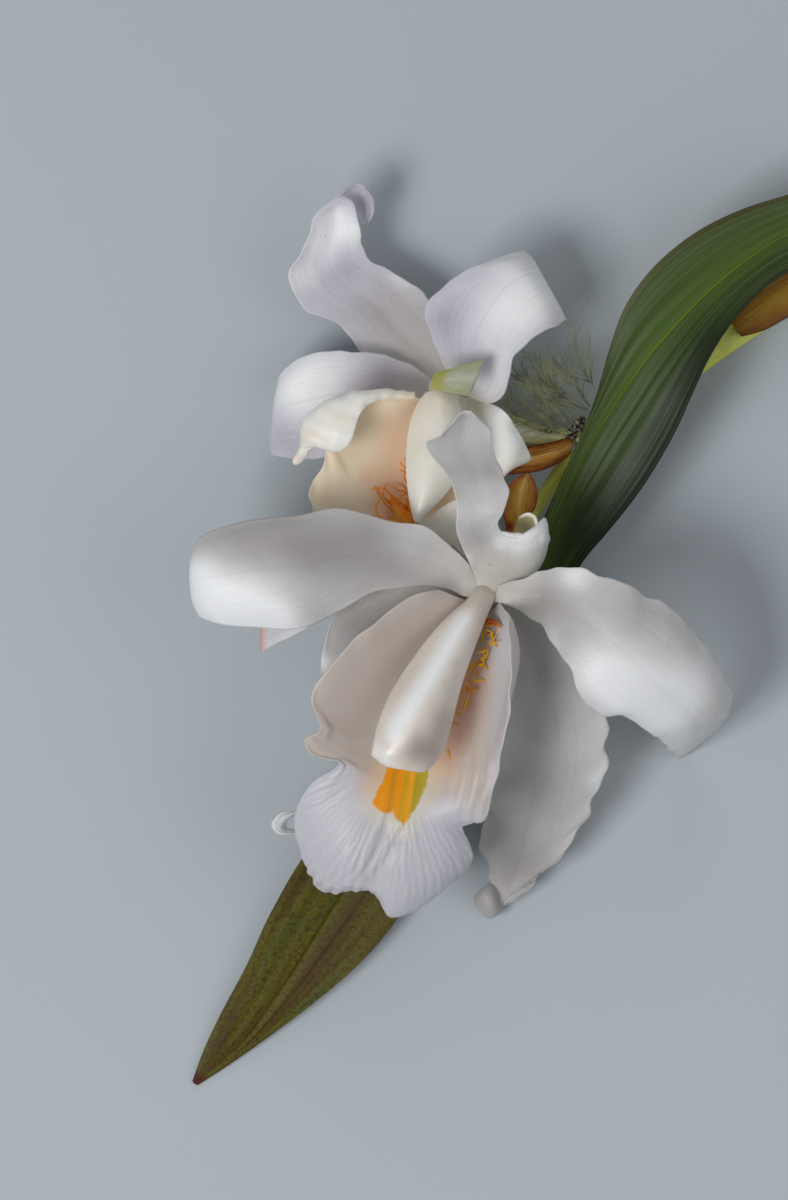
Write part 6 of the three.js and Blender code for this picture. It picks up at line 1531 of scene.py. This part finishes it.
# ------------------------ leaf
# One long strap leaf, pleated along its length as these orchids' leaves are, with a channelled midrib. It is
# dark green and glossy where it crosses the flower stem, with painted shade along its turned-down side, and
# older, olive and mottled towards its burnt tip.
leaf_net = [
    [[58.2, 74, 8.4], [58.9, 71.9, 6.8], [59.7, 69.8, 8.2]],
    [[52, 75.4, 11], [53, 71, 8.8], [54, 66.8, 10.4]],
    [[44, 76.2, 14], [45, 70.8, 11.6], [46, 65, 13.2]],
    [[37, 75.6, 16.4], [37.6, 69.6, 14.4], [38.4, 63.4, 15.8]],
    [[30.2, 73.5, 18], [30.2, 66.9, 16.4], [30.2, 60.2, 17.4]],
    [[22.6, 71.1, 18.6], [23.4, 62.7, 17.2], [25, 56.4, 18]],
    [[14.9, 67.3, 18.6], [16.7, 57.2, 17.4], [20.6, 51.4, 18.2]],
    [[8, 61.8, 18], [11.4, 51.8, 17], [17, 45.8, 18]],
    [[3, 55.2, 16.8], [6.6, 46.3, 16], [14, 39.4, 17.2]],
    [[0.2, 48.1, 15.4], [2.2, 40, 14.6], [11.4, 33.6, 16]],
    [[-2.1, 39.9, 13.8], [-1.8, 33.6, 13.2], [8.2, 27.8, 14.6]],
    [[-4.8, 32.2, 12.2], [-4.6, 28.4, 12], [4.4, 22, 13]],
    [[-8.2, 25.2, 10.8], [-7.6, 22.2, 10.8], [-0.2, 16.2, 11.6]],
    [[-10.8, 19.3, 9.8], [-10.2, 15.8, 9.8], [-4.8, 10.6, 10.6]],
    [[-15.4, 9.4, 8.8], [-13.8, 5.4, 8.4], [-9.6, 2, 9.4]],
    [[-24, -3.4, 7.6], [-20.4, -7.2, 7], [-15.4, -10.4, 8]],
    [[-33.4, -16.4, 6.4], [-28.6, -20.4, 5.6], [-22.4, -24.2, 6.6]],
    [[-43, -28.6, 5.4], [-37, -33, 4.4], [-29.4, -37.6, 5.6]],
    [[-51.4, -38.2, 4.6], [-44.2, -43.4, 3.4], [-36.2, -50, 4.8]],
    [[-57.8, -49, 3.8], [-50.6, -53.5, 2.6], [-43, -58, 4]],
    [[-61.9, -57.9, 3], [-56, -62, 1.8], [-50.6, -64.6, 3]],
    [[-66.4, -66.4, 2], [-61.8, -70.2, 1.1], [-58, -70.2, 2]],
    [[-69.4, -72.8, 1.1], [-66.8, -75, 0.7], [-64.8, -75, 1]],
    [[-71.3, -78, 0.6], [-71, -78.4, 0.5], [-70.4, -78.7, 0.6]],
]
PLEATS = {0.12: (0.15, 0.05), 0.29: (0.3, 0.05), 0.41: (0.1, 0.04), 0.63: (0.15, 0.05), 0.78: (0.25, 0.06)}
MIDRIB = 0.5


def leaf_relief(place):
    """Low pleats along the leaf, each with its height and half width, and a sharp channel at the midrib."""
    pleats = sum(height * falloff(place.across - at, width) for at, (height, width) in PLEATS.items())
    channel = 0.5 * falloff(place.across - MIDRIB, 0.014)
    fine = 0.012 * np.sin(2 * np.pi * 26 * place.across)
    ends = np.clip(place.along / 0.06, 0, 1) * np.clip(place.tip / 14, 0, 1)
    return (pleats - channel + fine) * ends


leaf_surface = smooth_net([row[::-1] for row in leaf_net], 8, 48)
place = measure(leaf_surface)
leaf_marks = {
    "age": soft_step(place.along, 0.6, 0.78),
    "burn": soft_step(place.along, 0.978, 0.992),
    "leaf_painted_shade": falloff(line_distance(place, [(-3, 16), (6, 25), (14, 38), (18, 47)]), 5.5),
}

leaf_skin, tree, shader = start_material(
    "glossy_leaf_skin", Roughness=0.36, IOR=1.4, Specular_IOR_Level=0.3, Coat_Weight=0.05,
    Coat_Roughness=0.45, Subsurface_Weight=0.05, Subsurface_Radius=(0.4, 1.0, 0.2), Subsurface_Scale=0.0005
)
coordinates = add_node(tree, "TexCoord", {})
flat, place = coordinates.outputs["UV"], coordinates.outputs["Object"]
age = add_node(tree, "Attribute", {}, attribute_name="age").outputs["Fac"]
burn = add_node(tree, "Attribute", {}, attribute_name="burn").outputs["Fac"]
# Veins 0.4 mm apart run the whole length, each a little lighter than the green between
drawn = add_node(tree, "Mapping", {"Vector": flat, "Scale": (46.0, 4.0, 1.0)})
vein = add_node(tree, "TexNoise", {"Vector": drawn, "Scale": 1.0, "Detail": 3.0})
across = add_node(tree, "SeparateXYZ", {"Vector": flat}).outputs["X"]
# Across the leaf, from near black at its right margin, as painted shade on the side turned from the light,
# through green and a yellow-green midrib to a reddish-brown left margin
young = add_node(
    tree, "ValToRGB", {"Fac": across},
    ramp=[
        (0.0, "#141C0A"), (0.08, "#233111"), (0.25, "#30421A"), (0.4, "#40541E"), (0.472, "#40541E"),
        (0.484, "#8E9C38"), (0.492, "#A4B046"), (0.5, "#34450F"), (0.508, "#98A43E"), (0.524, "#48601F"),
        (0.7, "#425622"), (0.92, "#46562E"), (1.0, "#4A3B22")
    ]
)
streaks = add_node(tree, "MapRange", {0: vein, 1: 0.46, 2: 0.66, 4: 0.32})
streaked = add_node(tree, "Mix", {0: streaks, 6: young, 7: "#6E8450"}, data_type="RGBA")
# Painted shade darkens the green along the side that is turned down from the light
leaf_painted_shade = add_node(tree, "Attribute", {}, attribute_name="leaf_painted_shade").outputs["Fac"]
painted_shade_share = add_node(tree, "Math", {0: leaf_painted_shade, 1: 0.7}, operation="MULTIPLY")
shaded_green = add_node(tree, "Mix", {0: painted_shade_share, 6: streaked, 7: "#141E0C"}, data_type="RGBA")
# Old tissue: olive blotched with brown, and red-brown cells drawn half a millimetre wide so that they show
blotch = add_node(tree, "Mapping", {"Vector": flat, "Scale": (5.0, 9.0, 1.0)})
blotches = add_node(tree, "TexNoise", {"Vector": blotch, "Scale": 1.0, "Detail": 4.0})
old = add_node(
    tree, "ValToRGB", {"Fac": blotches},
    ramp=[(0.3, "#4A360A"), (0.45, "#52460A"), (0.55, "#5C560E"), (0.68, "#454E12")]
)
speckle = add_node(tree, "TexNoise", {"Vector": place, "Scale": 1700.0})
speckled = add_node(tree, "MapRange", {0: speckle, 1: 0.5, 2: 0.62, 4: 0.55})
old_speckled = add_node(tree, "Mix", {0: speckled, 6: old, 7: "#3A200C"}, data_type="RGBA")
rib = add_node(tree, "Math", {0: across, 1: MIDRIB}, operation="SUBTRACT")
rib_away = add_node(tree, "Math", {0: rib}, operation="ABSOLUTE")
rib_line = add_node(tree, "MapRange", {0: rib_away, 1: 0.006, 2: 0.022, 3: 0.8, 4: 0.0})
old_ribbed = add_node(tree, "Mix", {0: rib_line, 6: old_speckled, 7: "#77732C"}, data_type="RGBA")
grown = add_node(tree, "Mix", {0: age, 6: shaded_green, 7: old_ribbed}, data_type="RGBA")
# Brown scars about a millimetre wide, in two of five cells of 14 mm
scar = add_node(tree, "TexVoronoi", {"Vector": place, "Scale": 72.0})
scar_draw = add_node(tree, "SeparateColor", {"Color": scar.outputs["Color"]}).outputs["Green"]
scar_rare = add_node(tree, "Math", {0: scar_draw, 1: 0.6}, operation="GREATER_THAN")
scar_near = add_node(tree, "MapRange", {0: scar, 1: 0.03, 2: 0.055, 3: 0.9, 4: 0.0})
scarred = add_node(tree, "Math", {0: scar_rare, 1: scar_near}, operation="MULTIPLY")
marked = add_node(tree, "Mix", {0: scarred, 6: grown, 7: "#4A1F10"}, data_type="RGBA")
tipped = add_node(tree, "Mix", {0: burn, 6: marked, 7: "#4E160C"}, data_type="RGBA")
dull = add_node(tree, "MapRange", {0: age, 2: 1.0, 3: 0.36, 4: 0.5})
bump = add_node(tree, "Bump", {"Height": vein, "Strength": 0.15, "Distance": 0.0003})
feed(tree, shader, {"Base Color": tipped, "Roughness": dull, "Normal": bump})
grow_blade(
    "strap_leaf", leaf_surface, (0.6, 0.3, 1.2), leaf_skin, "leaf", "leaf", relief=leaf_relief,
    marks=leaf_marks
)

# ------------------------ flower stem, sheath and cut shoot
# The flower stem is a smooth green rod that passes under the leaf. A papery sheath clasps it, and both come
# from the cut end of a thick shoot, wrapped in one dry scale.
stem_path = [
    [-5.5, 31.4, 4.8], [0, 34.4, 3.4], [8, 39.2, 2.4], [17, 46.5, 2.2], [24, 51.4, 2.2], [30.2, 55.4, 2.2],
    [42, 61.6, 2.3], [52, 66.2, 2.5], [60, 69.8, 2.7]
]
stem_radii = [1.9, 1.8, 1.8, 2, 2.1, 2.1, 2.2, 2.4, 2.4]
stem_skin = fleshy_stem(
    "flower_stem_skin", [(0.0, "#C6D02E"), (0.35, "#E2E650"), (1.0, "#F2F4BC")], vertical_top=8
)
roll_tube(
    "flower_stem_rod", stem_rings(stem_path, stem_radii, steps=8, sides=28, ribs=9, rib_height=0.015),
    stem_skin, "stem", "flower_stem"
)


def wrapped_net(axis, radius, spans):
    """A net that wraps round an axis over a span of angles to each side of its top, in degrees."""
    axis = fill_in(axis, 4)
    sides = unit(np.cross([0, 0, 1], unit(np.gradient(axis, axis=0))))
    turns = np.radians(np.outer(fill_in(spans, 4), np.linspace(-1, 1, 9)))[..., None]
    return axis[:, None] + radius * (np.sin(turns) * sides[:, None] + np.cos(turns) * [0, 0, 1])


sheath_axis = [[44, 63.4, 2.6], [36, 59.8, 2.4], [29.4, 56.6, 2.3], [25.2, 54, 2.2], [21.6, 51.2, 2.2]]
sheath_paper = thin_bract(
    "papery_sheath", [(0.0, "#A88420"), (0.55, "#946414"), (1.0, "#5E2C10")], ("#6A3A12", 0.4), roughness=0.5,
    clear=0.25, stain="#7A3E14"
)
sheath_surface = blade_surface(wrapped_net(sheath_axis, 3.7, [80, 82, 84, 70, 30]), 3, 4)
grow_blade(
    "stem_sheath_blade", sheath_surface, (0.4, 0.2, 1.0), sheath_paper, "sheath", "stem_sheath",
    relief=lambda place: 0.08 * np.cos(22 * np.pi * place.across), glow=rooted_glow(0.25)
)

scale_axis = [[67.4, 73.8, 4.8], [64, 72.2, 4.8], [61, 70.8, 4.8]]
scale_surface = blade_surface(wrapped_net(scale_axis, 6.05, [100, 90, 25]), 4, 4)
grow_blade(
    "shoot_scale_blade", scale_surface, (0.45, 0.2, 1.0), sheath_paper, "sheath", "shoot_scale",
    relief=lambda place: 0.1 * np.cos(30 * np.pi * place.across), glow=rooted_glow(0.25)
)

shoot_line = [
    [60.4, 70.5, 4.8], [60.9, 70.75, 4.8], [62.6, 71.55, 4.8], [65, 72.7, 4.8], [67.4, 73.8, 4.8],
    [69.3, 74.7, 4.8]
]
shoot_surface = stem_rings(
    shoot_line, [3.9, 4.65, 4.75, 4.6, 4.75, 4.7], steps=6, sides=48, ribs=12, rib_height=0.015
)
shoot_rind = fleshy_stem(
    "cut_shoot_rind", [(0.0, "#7F8438"), (0.5, "#98984A"), (1.0, "#A39C56")], vertical_top=10
)
shoot = roll_tube("cut_shoot", shoot_surface, shoot_rind, "stem", "shoot_base")
# The cut face is sunk a little inside its rind
select_only(shoot)
cut_face = max(shoot.data.polygons, key=lambda face: face.center[0] if len(face.vertices) > 20 else -1).index
bpy.ops.object.mode_set(mode="EDIT")
bpy.ops.mesh.select_all(action="DESELECT")
bpy.ops.object.mode_set(mode="OBJECT")
shoot.data.polygons[cut_face].select = True
bpy.ops.object.mode_set(mode="EDIT")
bpy.ops.mesh.inset(thickness=0.5 * MM, depth=0)
bpy.ops.mesh.inset(thickness=0.25 * MM, depth=-0.35 * MM)
bpy.ops.object.mode_set(mode="OBJECT")

# ------------------------ close
size = {"cad": [list(corner) for corner in cad_box], "visual": [list(corner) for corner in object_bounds()]}
